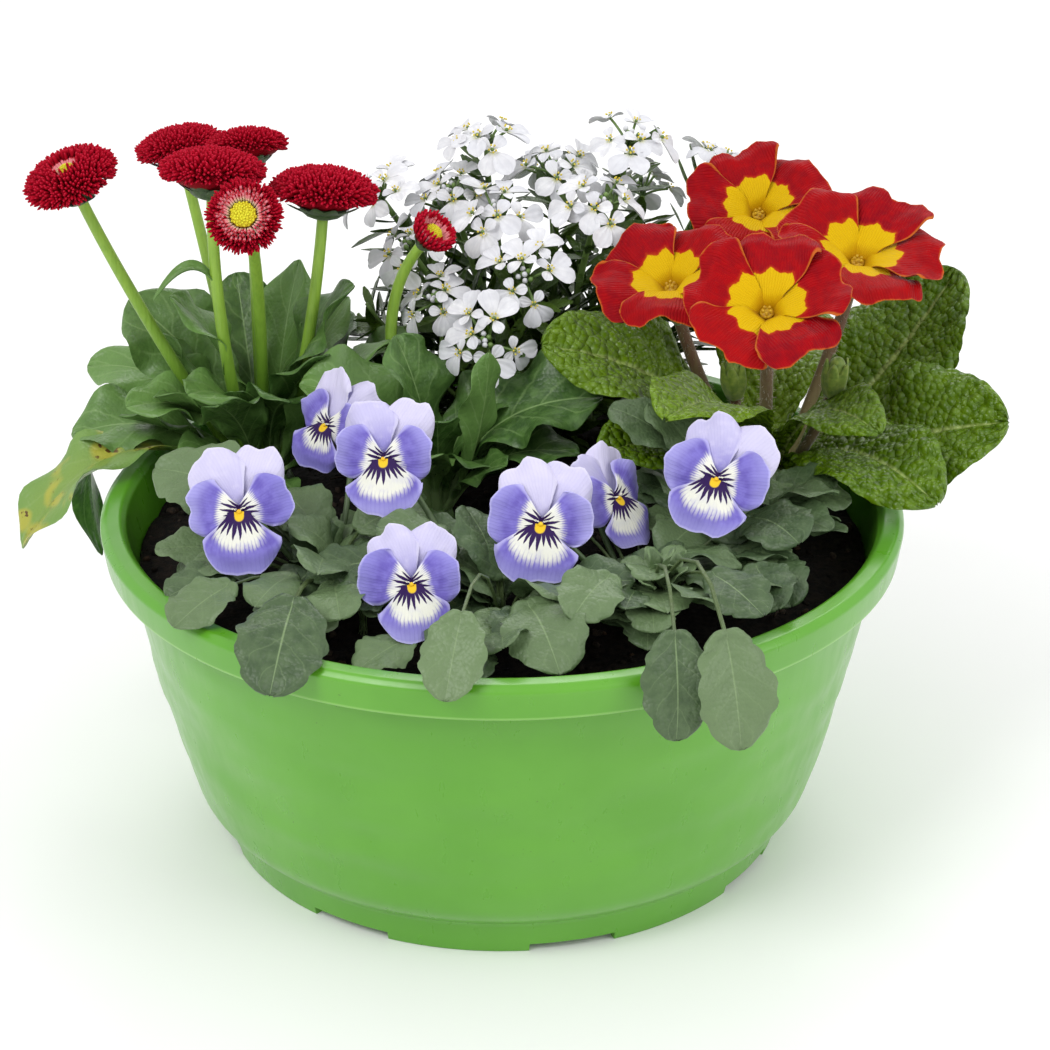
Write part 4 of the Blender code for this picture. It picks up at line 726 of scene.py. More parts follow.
leaf_look(
    "violet_leaf", (0.042, 0.078, 0.030), (0.140, 0.212, 0.094), (0.18, 0.26, 0.12), 4.5, 1.6, 0.06, 0.42,
    stem=(0.085, 0.125, 0.045), lines=0.25, mottle=0.3,
)
stem_look("violet_stem", (0.08, 0.13, 0.05), (0.14, 0.22, 0.09))
for kind in ("upper", "side", "lower"):
    violet_petal_look(f"violet_{kind}", kind)
plain_look(
    "violet_back", (0.32, 0.29, 0.66), (0.48, 0.46, 0.78), 420, 0.6, 0.0004,
    Specular_IOR_Level=0.2, Sheen_Weight=0.05,
)
plain_look("violet_eye", (0.80, 0.42, 0.005), (0.88, 0.62, 0.02), 900)
plain_look("violet_beard", (0.82, 0.80, 0.70), (0.90, 0.88, 0.80), 900)


# Bowl and soil


def notched(turn):
    """How high the foot is cut away at each turn, in radians: zero between the gaps."""
    apart = 360 / NOTCHES
    off = (np.degrees(turn) + 90 - NOTCH_FIRST + apart / 2) % apart - apart / 2
    return np.where(np.abs(off) < NOTCH_ANGLE / 2, NOTCH_HEIGHT, 0.0)


def bowl_turns():
    """The turns at which the bowl's sections stand: even ones, and a pair at each end of a gap."""
    turns = list(np.arange(0, 360, 2))
    for k in range(NOTCHES):
        middle = -90 + NOTCH_FIRST + k * 360 / NOTCHES
        for end in (-NOTCH_ANGLE / 2, NOTCH_ANGLE / 2):
            turns += [(middle + end - 0.05) % 360, (middle + end + 0.05) % 360]
    return np.radians(sorted(turns))


def bowl_section():
    """Radius and height along the bowl's section, with the wall's rings close together for its ripples."""
    inner_top, foot = WALL_TOP_RADIUS - WALL, FOOT_RADIUS - FOOT_DRAFT
    band_radius = RIM_RADIUS - BAND_DRAFT
    corners = [
        (CENTRE_HOLE, FLOOR_TOP, 0),
        (WALL_LOW[0] - WALL - INNER_CORNER, FLOOR_TOP, 0.004),
        (WALL_MID[0] - WALL, WALL_MID[1], 0.01),
        (inner_top, BOWL_HEIGHT - RIM_ROUNDING, 0.0008),
        (inner_top + RIM_ROUNDING, BOWL_HEIGHT, 0.0009),
        (RIM_RADIUS - RIM_ROUNDING, BOWL_HEIGHT, 0.0009),
        (RIM_RADIUS, BOWL_HEIGHT - RIM_ROUNDING, 0.0009),
        (band_radius, BAND_BOTTOM, 0.0007),
        (band_radius - BAND_WALL, BAND_BOTTOM, 0.0006),
        (WALL_TOP_RADIUS, BAND_BOTTOM + BAND_HOLLOW, 0.001),
        (*WALL_MID, 0.02),
        (*WALL_LOW, 0.005),
        (FOOT_RADIUS + FOOT_DRAFT, FOOT_TOP, 0.0014),
        (foot, 0, 0.0005),
        (foot - FOOT_WALL, 0, 0.0005),
        (foot - FOOT_WALL, FLOOR_UNDERSIDE, 0.001),
        (CENTRE_HOLE, FLOOR_UNDERSIDE, 0),
    ]
    section = []
    for i, (*corner, rounding) in enumerate(corners):
        if rounding:
            before, corner, after = (np.array(corners[j][:2], float) for j in (i - 1, i, i + 1))
            first, last = (corner + unit(end - corner) * rounding for end in (before, after))
            section += list(bezier(first, corner, last, 6))
        else:
            section.append(np.array(corner))
    dense = [section[0]]
    for before, after in zip(section[:-1], section[1:]):
        outer = min(before[0], after[0]) > 0.09 and abs(after[1] - before[1]) > 0.002
        steps = max(1, int(np.linalg.norm(after - before) / RING_SPACING)) if outer else 1
        dense += [before + (after - before) * k / steps for k in range(1, steps + 1)]
    return np.array(dense)


def ripples(turn, height):
    """How far the moulded relief of low, wavering bands stands off the wall."""
    places = stack(np.cos(turn) * RIPPLE_WAVES, np.sin(turn) * RIPPLE_WAVES, height * RIPPLE_RISE)
    field = [noise.noise(Vector(p)) + 0.5 * noise.noise(Vector(p) * 2.1) for p in places.reshape(-1, 3)]
    fade = smooth(0.021, 0.034, height) * smooth(0.104, 0.092, height)
    return np.reshape(field, height.shape) * fade * RIPPLE_HEIGHT


def build_bowl():
    section = bowl_section()
    turn, radius = np.meshgrid(bowl_turns(), section[:, 0])
    height = np.broadcast_to(section[:, 1:], turn.shape)
    past_rim = np.arange(len(section))[:, None] > np.argmax(section[:, 1])
    radius = radius + np.where(past_rim & (radius < RIM_RADIUS - 0.004), ripples(turn, height), 0)
    in_foot = (radius > FOOT_RADIUS - FOOT_DRAFT - FOOT_WALL - 0.001) & (height < NOTCH_HEIGHT)
    height = np.where(in_foot, np.maximum(height, notched(turn)), height)
    piece = Piece()
    rings = stack(radius * np.cos(turn), radius * np.sin(turn), height)
    piece.shell(rings, ((0, 0, FLOOR_TOP), (0, 0, FLOOR_UNDERSIDE)), 0, 0, flip=True)
    bowl = piece.make("bowl", "moulding", "bowl", "bowl_plastic")
    drill(bowl)
    bowl.data.set_sharp_from_angle(angle=math.radians(32))


def drill(bowl):
    """Cuts the drain holes through the bowl's floor."""
    cutter = bmesh.new()
    for k in range(DRAIN_HOLES):
        place = compass(math.pi / 4 + math.tau * k / DRAIN_HOLES) * DRAIN_CIRCLE + UP * FLOOR_TOP
        bmesh.ops.create_cone(
            cutter, cap_ends=True, segments=24, radius1=DRAIN_RADIUS, radius2=DRAIN_RADIUS,
            depth=2 * FLOOR_TOP, matrix=Matrix.Translation(place),
        )
    mesh = bpy.data.meshes.new("drain")
    cutter.to_mesh(mesh)
    cutter.free()
    holes = bpy.data.objects.new("drain", mesh)
    bpy.context.scene.collection.objects.link(holes)
    modifier = bowl.modifiers.new("drain", "BOOLEAN")
    modifier.operation, modifier.solver, modifier.object = "DIFFERENCE", "EXACT", holes
    graph = bpy.context.evaluated_depsgraph_get()
    cut = bpy.data.meshes.new_from_object(bowl.evaluated_get(graph))
    bowl.modifiers.clear()
    bowl.data = cut
    bpy.data.objects.remove(holes)


def soil_place(x, y):
    """The place on the soil's surface, a low mound with clods, above x and y."""
    place = Vector((x, y, 0))
    clods = sum(noise.noise(place * scale) * size for scale, size in CLODS)
    mound = SOIL_MOUND * (1 - (math.hypot(x, y) / MOUND_RADIUS) ** 2)
    return np.array((x, y, SOIL_EDGE + mound + clods))


def some_soil_place(draw, edge, share):
    """A place on the soil's surface, drawn evenly from a share of its area."""
    turn, radius = draw.uniform(0, math.tau), edge * math.sqrt(draw.uniform(0, share))
    return soil_place(radius * math.cos(turn), radius * math.sin(turn))


def build_soil():
    edge = WALL_TOP_RADIUS - WALL - (BOWL_HEIGHT - SOIL_EDGE) * WALL_SLOPE - SOIL_GAP
    turns = [compass(turn) for turn in np.linspace(0, math.tau, SOIL_TURNS + 1)[:-1]]
    radii = np.linspace(0.001, edge, SOIL_RINGS)
    rings = [[soil_place(*(out * radius)[:2]) for out in turns] for radius in radii]
    for radius, height in ((edge, SOIL_SKIRT), (WALL_MID[0] - WALL - SOIL_GAP, WALL_MID[1])):
        rings.append([out * radius + UP * height for out in turns])
    piece, draw = Piece(), np.random.default_rng(7)
    piece.shell(np.array(rings), (soil_place(0, 0), (0, 0, WALL_MID[1])), 0, 0, flip=True)
    for _ in range(CRUMBS):
        place = some_soil_place(draw, edge, 0.98)
        size = draw.uniform(0.0006, 0.0022) * np.array((1, draw.uniform(0.5, 1), draw.uniform(0.4, 0.8)))
        axis = facing(draw.uniform(0, 60), draw.uniform(0, 360))
        turn = stand(place, axis, draw.uniform(0, 360))[1]
        brown = draw.integers(0, 4) == 0
        piece.ball(place + UP * size[2] * 0.3, size, brown, turn, 6, 4, draw.uniform(0, 1), 0.15)
    for _ in range(FIBRES):
        start = some_soil_place(draw, edge, 0.9) + UP * 0.0006
        away = facing(draw.uniform(75, 95), draw.uniform(0, 360)) * draw.uniform(0.003, 0.009)
        bend = facing(40, draw.uniform(0, 360)) * 0.002
        path = bezier(start, start + away / 2 + bend, start + away, 5)
        piece.tube(path, draw.uniform(0.0002, 0.0006), 1, 5, 0.5)
    piece.make("soil", "peat", "soil", "peat", "crumb")


# Leaves


def add_leaf(piece, plant, row, slot, draw, shade=None, detail=1.0, crown=None):
    """One leaf: a petiole, and a toothed, folded, ruffled and quilted blade along a curved midrib."""
    *tip, arch, width, roll = row
    kind = plant.split("_")[0]
    petiole, stalk, broadest, round_, fold, teeth, depth, ruffles, ruffle, veins, *rest = KINDS[kind]
    quilt, usual_width, thick, rows, columns = rest
    x, y, radius = crown or CROWNS[plant]
    tip, arch, half_width = place_mm(tip), arch * MM, width * MM / 2
    deep, share = LEAF_ROOT
    outward = unit(np.array((tip[0] - x * MM, tip[1] - y * MM, 0)))
    root = np.array((x * MM, y * MM, CROWN_TOP - deep)) + outward * radius * share * MM
    chord = tip - root
    distance = np.linalg.norm(chord)
    length = distance + 8 / 3 * arch**2 / distance
    if petiole is None:
        least, greatest = VIOLET_PETIOLES
        petiole = min(greatest, max(least, 1 - 2 * half_width * VIOLET_BLADE / length))

    # The midrib: t runs from -1 to 0 along the petiole and on to 1 along the blade, u from root to tip
    side = unit(np.cross(chord, UP))
    control = (root + tip) / 2 + unit(np.cross(side, chord)) * 2 * arch
    s = np.linspace(0, 1, int(rows * detail))
    t = np.concatenate((np.linspace(-1, 0, 6)[:-1], s / 2 + (1 - np.cos(math.pi * s)) / 4))[:, None]
    u = np.where(t < 0, petiole * (1 + t), petiole + (1 - petiole) * t)
    along = unit((control - root) * (1 - u) + (tip - control) * u)
    twist = draw.uniform(-0.25, 0.25)
    angle = math.radians(roll) * np.minimum(1, u * 1.6) + twist * np.maximum(t, 0) ** 2
    across = side * np.cos(angle) + np.cross(along, side) * np.sin(angle)
    across = unit(across - along * np.sum(across * along, axis=1, keepdims=True))
    normal = np.cross(across, along)

    # The outline, with its teeth, and the half-width at each place along
    t_in = np.clip(t, 0, 1)
    outline = np.sin(math.pi * (t_in * 0.999) ** broadest) ** round_
    cut = np.abs(np.sin(math.pi * (teeth * t_in + 0.12 * np.sin(t_in * 9 + twist * 9)))) ** 0.7
    outline = outline * (1 - depth * 1.6 * (1 - cut) * smooth(0.02, 0.15, t_in) * smooth(1.0, 0.93, t_in))
    stem_share = stalk * np.where(t_in > 0.6, (1 - t_in) / 0.4, 1)
    half = half_width * np.sqrt(outline**2 + np.maximum(stem_share, 0.02) ** 2)

    # The blade's height across it: fold, ruffles, sag, quilting between the veins, a groove and a curl
    v = np.sin(math.pi / 2 * np.linspace(-1, 1, int(columns * detail) // 2 * 2 + 1) * 0.999)
    wide, blade = np.abs(v), smooth(0, 0.12, t_in)
    bend = math.tan(math.radians(fold)) * (np.sqrt(v**2 + 0.006) - 0.077)
    sway = np.sin(math.tau * ruffles * t_in + draw.uniform(0, 6.3) + np.where(v > 0, 1.9, 0))
    sag = draw.uniform(-0.10, 0.04)
    height = half * (bend + (ruffle * sway * wide**2.5 + sag * wide**2) * blade)
    lines = veins * t_in - (0.2 * veins + 0.35) * wide
    relief = np.abs(np.sin(math.pi * lines)) ** 0.55 * smooth(1.0, 0.8, wide) * smooth(0.02, 0.1, wide)
    if kind == "primrose":
        cross = np.abs(np.sin(math.pi * (wide * 5.5 + 0.7 * np.sin(lines * 6))))
        small = np.abs(np.sin(math.pi * lines * 2.5))
        relief = relief * (0.70 + 0.18 * cross**0.6 + 0.18 * small**0.6)
    height = height + relief * blade * quilt * MM * width / usual_width
    height = height - np.exp(-((wide * half / 0.0011) ** 2)) * 0.0004 * blade * (1 - t_in)
    height = height + draw.uniform(-0.05, 0.02) * length * t_in**3

    middle = bezier(root, control, tip, u)
    grid = middle[:, None] + across[:, None] * (half * v)[..., None] + normal[:, None] * height[..., None]
    rib = np.exp(-((wide * half / 0.0016) ** 2)) * (1.1 - t_in) * 0.0009
    body = half * 1.5 * (1 - blade) + (thick * MM + rib) * blade
    vectors = stack(v, t, draw.uniform(0, 0.9) if shade is None else shade)
    piece.plate(grid, body * np.sqrt(np.maximum(0, 1 - wide**6)), vectors, slot)


def add_shoot(piece, place, count, low, high, width, seed):
    """A tuft of small young leaves round one foot, the inner ones upright."""
    draw = np.random.default_rng(seed)
    for k in range(count):
        share = ((k + 0.5) / count) ** 0.6
        reach = compass(GOLDEN * k) * share * draw.uniform(0.7, 1.1) * high * 0.75
        rise = high - (high - low) * share * draw.uniform(0.7, 1.1)
        tip = (place[0] + reach[0], place[1] + reach[1], 108 + rise)
        row = (*tip, 2 + 4 * share, width * draw.uniform(0.8, 1.2), draw.uniform(-20, 20))
        add_leaf(piece, "violet_plant_1", row, 0, draw, 1.0, SHOOT_DETAIL, (*place, 3))


def undergrowth(plant, draw):
    """Rows of small low leaves round a crown, in millimetres, that keep clear of blooms and of the bowl."""
    count, near, far, low, high, narrow, broad, _ = UNDERGROWTH[plant]
    x, y, _ = CROWNS[plant]
    sight_up = np.array((0, 0.465, 0.885))
    inside, over_rim, farthest = 116, 123, 140
    rows = []
    for k in range(count):
        out = compass(GOLDEN * k + draw.uniform(-0.3, 0.3)) * draw.uniform(near, far)
        tip = out + (x, y, 110 + draw.uniform(low, high))
        width = draw.uniform(narrow, broad)
        from_axis = math.hypot(tip[0], tip[1])
        if from_axis > inside:
            tip[2] = max(tip[2], over_rim)
        blooms = [(np.array(place) - tip, wide) for _, place, _, _, wide, _ in VIOLET_BLOOMS]
        if from_axis > farthest or any(
            np.linalg.norm(way) <= wide * 0.5 + width * 0.35
            or (way[1] > 0 and abs(way[0]) < (wide + width) / 2 and way @ sight_up <= wide * 0.45)
            for way, wide in blooms
        ):
            continue
        row = (*tip, draw.uniform(3, 9), width, draw.uniform(-25, 25))
        if not any(
            abs(way[0]) < (wide + width) * 0.42
            and -12 < way[1] < 45
            and way @ sight_up <= wide * 0.5 + width * 0.25
            for way, wide in blooms
        ):
            rows.append(row)
    return rows


def add_plant(piece, plant, crown_slot, seed):
    """The short stump that leaves and stems rise from, the listed leaves, the undergrowth and a shoot."""
    x, y, radius = CROWNS[plant]
    path = stack(x * MM, y * MM, np.array((0.094, 0.100, 0.104, 0.107, 0.109, CROWN_TOP)))
    piece.tube(path, radius * MM * np.array((0.9, 1.0, 0.98, 0.85, 0.6, 0.3)), crown_slot, 14)
    draw = np.random.default_rng(seed)
    for row in LEAVES.get(plant, ()):
        yellowing = row[0] < -160
        add_leaf(piece, plant, row, 0, draw, 0.98 if yellowing else None)
    if plant in UNDERGROWTH:
        draw = np.random.default_rng(UNDERGROWTH[plant][-1])
        for row in undergrowth(plant, draw):
            add_leaf(piece, plant, row, 0, draw, None, SMALL_DETAIL)
    if plant in SHOOTS:
        add_shoot(piece, *SHOOTS[plant])


# Daisies

DAISY_HEIGHT_SHARE = 0.72
DAISY_WELL_LEVEL = 0.60
DAISY_FLORETS, DAISY_BUD_FLORETS, DISC_FLORETS, CUP_BRACTS = 800, 26, 70, 13


def quill(piece, seat, root, direction, length, wide, slot, shade, sides):
    """A tubular floret in a flower's own frame: narrow at its foot, swollen towards its rounded end."""
    path = root + direction * (np.array((0, 0.45, 0.85, 1.0)) * length)[:, None]
    piece.tube(placed(path, seat), wide * np.array((0.62, 1.0, 0.92, 0.42)), slot, sides, shade)


def quill_ring(piece, seat, draw, count, phase, lean, foot, length, spread, wide, slot, shade, sides):
    """A ring of quills: foot is how far out and how high they stand, and lean their tilt outwards."""
    for k in range(count):
        out = compass(math.tau * (k + phase + draw.uniform(-0.2, 0.2)) / count)
        tilt = math.radians(lean + draw.uniform(-5, 5))
        root, direction = out * foot[0] + UP * foot[1], out * math.sin(tilt) + UP * math.cos(tilt)
        long = length * draw.uniform(*spread)
        quill(piece, seat, root, direction, long, wide, slot, draw.uniform(0, shade), sides)


def dome_angles(first, last, count):
    """Angles from the axis that spread points evenly over a low dome, from first to last, in radians."""
    angle = np.linspace(first, last, 400)
    share = np.cumsum(np.sin(angle) * np.sqrt(0.21 * np.sin(angle) ** 2 + np.cos(angle) ** 2))
    return np.interp((np.arange(count) + 0.5) / count * share[-1], share, angle)


def add_daisy_head(piece, top, axis, radius, disc, draw):
    """Quilled florets over a dome that curves under at its edge, and pale ones round its disc."""
    seat = stand(top + axis * GAP, axis)
    height, wide = radius * DAISY_HEIGHT_SHARE, radius * 0.036
    core = np.array((0.82, 0.82, 0.17 if disc else 0.36)) * radius
    piece.ball(top + axis * height * 0.34, core, 0, seat[1], 20, 10)
    inner = math.asin(disc / radius + 0.14) if disc else 0
    count = int(DAISY_FLORETS * (radius / 0.0175) ** 1.6)
    for k, angle in enumerate(dome_angles(inner, math.radians(112), count)):
        out = compass(GOLDEN * k + draw.normal() * 0.03 / math.sin(angle + 0.1))
        angle = angle + draw.normal() * 0.02
        rise = math.cos(angle) * (1.7 if angle < math.pi / 2 else 0.6)
        direction = unit(out * math.sin(angle) + UP * rise + draw.normal(size=3) * 0.08)
        tip = out * radius * math.sin(angle) + UP * height * (0.34 + 0.64 * math.cos(angle))
        tip = tip * (draw.uniform(0.96, 1.03) if angle < 1.2 else draw.uniform(0.94, 1.06))
        length = radius * draw.uniform(0.26, 0.36)
        quill(piece, seat, tip - direction * length, direction, length, wide, 0, draw.uniform(0, 1), 4)
    if not disc:
        return
    rings, reach = (3, 0.36) if disc > 0.004 else (1, 0.19)
    count = int(10 + 26 * disc / 0.0042)
    for ring in range(rings):
        foot = disc + radius * (0.01 + 0.05 * ring), height * DAISY_WELL_LEVEL * 0.9
        lean, length = 34 + 11 * ring, radius * reach
        quill_ring(piece, seat, draw, count, ring / 3, lean, foot, length, (0.85, 1.1), wide, 1, 0.4, 5)


def add_daisy_bud(piece, top, axis, radius, _, draw):
    """A half-open head: upright florets in a cup round the disc, the inner ones pale."""
    seat = stand(top + axis * GAP, axis)
    piece.ball(top + axis * radius * 0.24, np.array((0.86, 0.86, 0.22)) * radius, 0, seat[1], 16, 8)
    for share, rise, lean, slot in (
        (0.80, 0.62, 34, 0), (0.84, 0.80, 20, 0), (0.82, 0.92, 10, 0),
        (0.76, 0.96, 6, 0), (0.68, 0.80, 14, 1), (0.58, 0.62, 24, 1),
    ):
        foot, length, wide = (radius * share, radius * 0.05), radius * rise, radius * 0.085
        count, phase = DAISY_BUD_FLORETS, share * 10
        quill_ring(piece, seat, draw, count, phase, lean, foot, length, (0.88, 1.05), wide, slot, 0.6, 6)


def add_disc(piece, top, axis, radius, disc, draw):
    """The yellow middle: a low cushion set with round florets."""
    height = radius * DAISY_HEIGHT_SHARE * DAISY_WELL_LEVEL + 2 * GAP
    seat, rise = stand(top, axis), disc * 0.5
    piece.ball(top + axis * height, np.array((disc, disc, rise)), 0, seat[1], 18, 8)
    for k in range(DISC_FLORETS):
        share = math.sqrt((k + 0.5) / DISC_FLORETS)
        place = compass(GOLDEN * k) * share * disc + UP * (height + rise * math.sqrt(1 - share**2) + 0.0001)
        size = disc * 0.115 * draw.uniform(0.8, 1.1)
        piece.ball(placed(place, seat), size, 0, None, 6, 4, draw.uniform(0, 1))


def add_daisy_cup(piece, top, axis, radius, slot, draw):
    """The green bracts under a head."""
    seat = stand(top, axis)
    s = np.linspace(0, 1, 7)[:, None]
    half = radius * 0.17 * np.sin(math.pi * (0.12 + 0.85 * s[:, 0])) ** 0.7
    for k in range(CUP_BRACTS):
        reach, droop = draw.uniform(0.5, 0.8), draw.uniform(0, 0.0016)
        turn = math.tau * k / CUP_BRACTS
        rise = 0.0052 * s**1.5 - droop * s**3 - 0.0042
        path = compass(turn) * (0.0014 + (radius * reach - 0.0014) * s) + UP * rise
        piece.plate(placed(strip(path, compass(turn + math.pi / 2), half, 5), seat), 0.0006, 0.5, slot)
    piece.ball(top - axis * 0.0014, np.array((radius * 0.45, radius * 0.45, 0.0040)), slot, seat[1])


def add_stem_leaf(piece, root):
    """A narrow leaf that arches off a stem to the left and curls at its tip."""
    s = np.linspace(0, 1, 16)
    path = bezier(root, root + (-0.008, -0.002, 0.015), root + (-0.021, -0.004, -0.004), s)
    half = 0.0024 * np.sin(math.pi * (0.12 + 0.84 * s)) ** 0.6
    v = np.linspace(-1, 1, 9)
    over = unit(np.cross(unit(np.gradient(path, axis=0)), UP) + np.array((0, 0.3, 0.5)))
    grid = strip(path, over[:, None], half, 9) + UP * (half[:, None] * 0.5 * v**2)[..., None]
    piece.plate(grid, 0.0007, stack(v, s[:, None], 0.6), 0)


def build_daisies():
    for number in (1, 2):
        piece, plant = Piece(), f"daisy_plant_{number}"
        add_plant(piece, plant, 0, 40)
        draw = np.random.default_rng(41)
        for i, (owner, place, lean, direction, radius, _) in enumerate(DAISY_HEADS, 1):
            if owner == number:
                top, axis = spot(place, lean, direction)
                path = bezier(*stem_curve(plant, top - axis * 0.002, axis, STEM_PULL), 22)
                piece.tube(path, DAISY_STEM * np.linspace(1.1, 0.9, 22), 1, 12)
                add_daisy_cup(piece, top, axis, radius * MM, 2, draw)
                if i == STEM_LEAF_HEAD:
                    add_stem_leaf(piece, path[14])
        piece.make(plant, "foliage", "daisy_leaf", "daisy_leaf", "daisy_stem", "daisy_cup")
    for i, (_, place, lean, direction, radius, disc) in enumerate(DAISY_HEADS, 1):
        piece, draw = Piece(), np.random.default_rng(100 + i)
        values = *spot(place, lean, direction), radius * MM, disc * MM, draw
        add_head = add_daisy_bud if radius < 10 else add_daisy_head
        add_head(piece, *values)
        piece.make(f"daisy_head_{i}", "florets", "daisy_red", "daisy_floret", "daisy_pink")
        if disc:
            piece = Piece()
            add_disc(piece, *values)
            piece.make(f"daisy_disc_{i}", "florets", "daisy_disc", "daisy_yellow")


# Primrose

CALYX_LENGTH, CALYX_RADIUS = 0.014, 0.0045
THROAT_RADIUS, THROAT_DEPTH = 0.0046, 0.0018
HAIRS = 260


def primrose_petal(radius, draw):
    """A heart-shaped petal in the bloom's own frame, with its blade vectors."""
    u = np.linspace(0, 1, 25)[:, None]
    v = np.sin(math.pi / 2 * np.linspace(-1, 1, 25))
    wide, phase = np.abs(v), draw.uniform(0, 6.3)
    half = radius * (0.09 + 0.50 * np.sin(math.pi / 2 * u**0.95) ** 1.05)
    half = half * (1 + 0.03 * np.sin(u * 9 + phase + np.sign(v)))
    outer = smooth(0.55, 1.0, u)
    notch = draw.uniform(0.05, 0.13) * np.exp(-((v / 0.26) ** 2)) * outer
    crinkle = (0.014 * np.sin(v * 8 + phase) + 0.010 * np.sin(v * 17 + phase * 3)) * outer
    rounding = 0.32 * u * (1 - np.sqrt(np.maximum(0, 1 - v**2)))
    reach = THROAT_RADIUS * 0.3 + radius * u * (1 - rounding - notch + crinkle)
    lift = 0.50 * u - 0.15 * u**2 + 0.070 * np.sin(v * 4.2 + phase) * smooth(0.3, 1.0, u)
    lift = lift + 0.035 * np.sin(u * 9 + v * 3 + phase) * wide**2 - 0.10 * smooth(0.16, 0.0, u)
    lift = lift - draw.uniform(0.0, 0.14) * smooth(0.6, 1.0, u) * wide
    lift = lift - draw.uniform(0.0, 0.10) * smooth(0.75, 1.0, u)
    veins = np.sin(v * 16 + np.sin(u * 5) * 2) * smooth(0.2, 0.6, u)
    lift = radius * lift + half * v * 0.16 + 0.0003 * veins
    return stack(reach, -half * v, lift), stack(v, u, draw.uniform(0, 1))


def add_primrose_bloom(piece, place, axis, radius, turn, draw):
    """Five petals that overlap like a fan, round a small throat."""
    seat = stand(place, axis, turn)
    for k in range(5):
        grid, blade = primrose_petal(radius, draw)
        spin = turned(math.tau * k / 5 + draw.uniform(-0.05, 0.05))
        piece.plate(placed(grid @ spin.T, seat), PRIMROSE_PETAL, blade, 0, 1)
    for k in range(5):
        out = compass(math.tau * (k + 0.5) / 5)
        low, high = placed((out * 0.0016 - UP * 0.002, out * 0.0013 + UP * 0.0008), seat)
        piece.tube(np.linspace(low, high, 4), 0.0005, 2, 6)
    piece.ball(place - axis * 0.0012, np.array((0.0024, 0.0024, 0.0012)), 2, seat[1])


def add_calyx(piece, base, axis, slot, opening):
    """The ribbed green tube under a bloom, which ends in five teeth."""
    s = np.linspace(0, 1, 16)[:, None]
    turn = np.linspace(0, math.tau, 61)[:-1]
    fifths = np.abs(np.cos(2.5 * turn))
    swell = 0.45 + 0.62 * np.sin(math.pi * (0.10 + 0.62 * s)) + 0.10 * opening * s**3
    radius = CALYX_RADIUS * 0.92 * swell * (0.94 + 0.13 * fifths**3)
    height = s * CALYX_LENGTH * 0.86 + (fifths - 0.5) * 0.0042 * smooth(0.72, 1.0, s)
    outer, inner = (stack(r * np.cos(turn), r * np.sin(turn), height) for r in (radius, radius - 0.0006))
    seat = stand(base, axis)
    ends = placed((UP * -0.0004, UP * height[4].mean()), seat)
    piece.shell(placed(np.concatenate((outer, inner[:3:-1])), seat), ends, 0.5, slot)


def add_hairs(piece, path, radius, slot, draw):
    """Short soft hairs that stand off a stalk."""
    for _ in range(HAIRS):
        at = draw.uniform(0.05, 0.98) * (len(path) - 1)
        place, _ = part_way(path, at)
        i = int(at)
        along = unit(path[min(i + 1, len(path) - 1)] - path[max(i - 1, 0)])
        out = unit(np.cross(along, draw.normal(size=3)))
        tip = place + out * (radius + draw.uniform(0.0008, 0.0016)) + along * draw.uniform(-0.0003, 0.0005)
        piece.tube(np.array((place + out * radius * 0.8, tip)), np.array((0.00009, 0.00004)), slot, 3)


def build_primrose():
    piece, draw = Piece(), np.random.default_rng(60)
    plant = "primrose_plant"
    add_plant(piece, plant, 0, 61)
    stalks = []
    for *seat, _, _ in PRIMROSE_BLOOMS:
        top, axis = spot(*seat)
        base = top - axis * (CALYX_LENGTH + THROAT_DEPTH + GAP)
        stalks.append((base, axis, STALK_PULL, PRIMROSE_STALK, 1.0))
    for seat in PRIMROSE_BUDS:
        stalks.append((*spot(*seat), BUD_PULL, BUD_STALK, 0.0))
    for base, axis, pull, radius, opening in stalks:
        path = bezier(*stem_curve(plant, base + axis * 0.003, axis, pull), 20)
        piece.tube(path, radius, 1, 12)
        add_hairs(piece, path, radius, 3, draw)
        add_calyx(piece, base, axis, 2, opening)
        if not opening:
            turn = stand(base, axis)[1]
            piece.ball(base + axis * 0.0110, np.array((0.0031, 0.0031, 0.0042)), 2, turn, 14, 10)
    piece.make(plant, "foliage", "primrose_leaf", "primrose_leaf", "primrose_stalk", "calyx", "hair")
    for i, (*seat, radius, turn) in enumerate(PRIMROSE_BLOOMS, 1):
        piece, draw = Piece(), np.random.default_rng(200 + i)
        add_primrose_bloom(piece, *spot(*seat), radius * MM, turn, draw)
        node = f"primrose_bloom_{i}"
        piece.make(node, "petals", "primrose_red", "primrose_petal", "primrose_back", "throat")


# Violets

TUFT_HAIRS, SEPALS = 14, 5


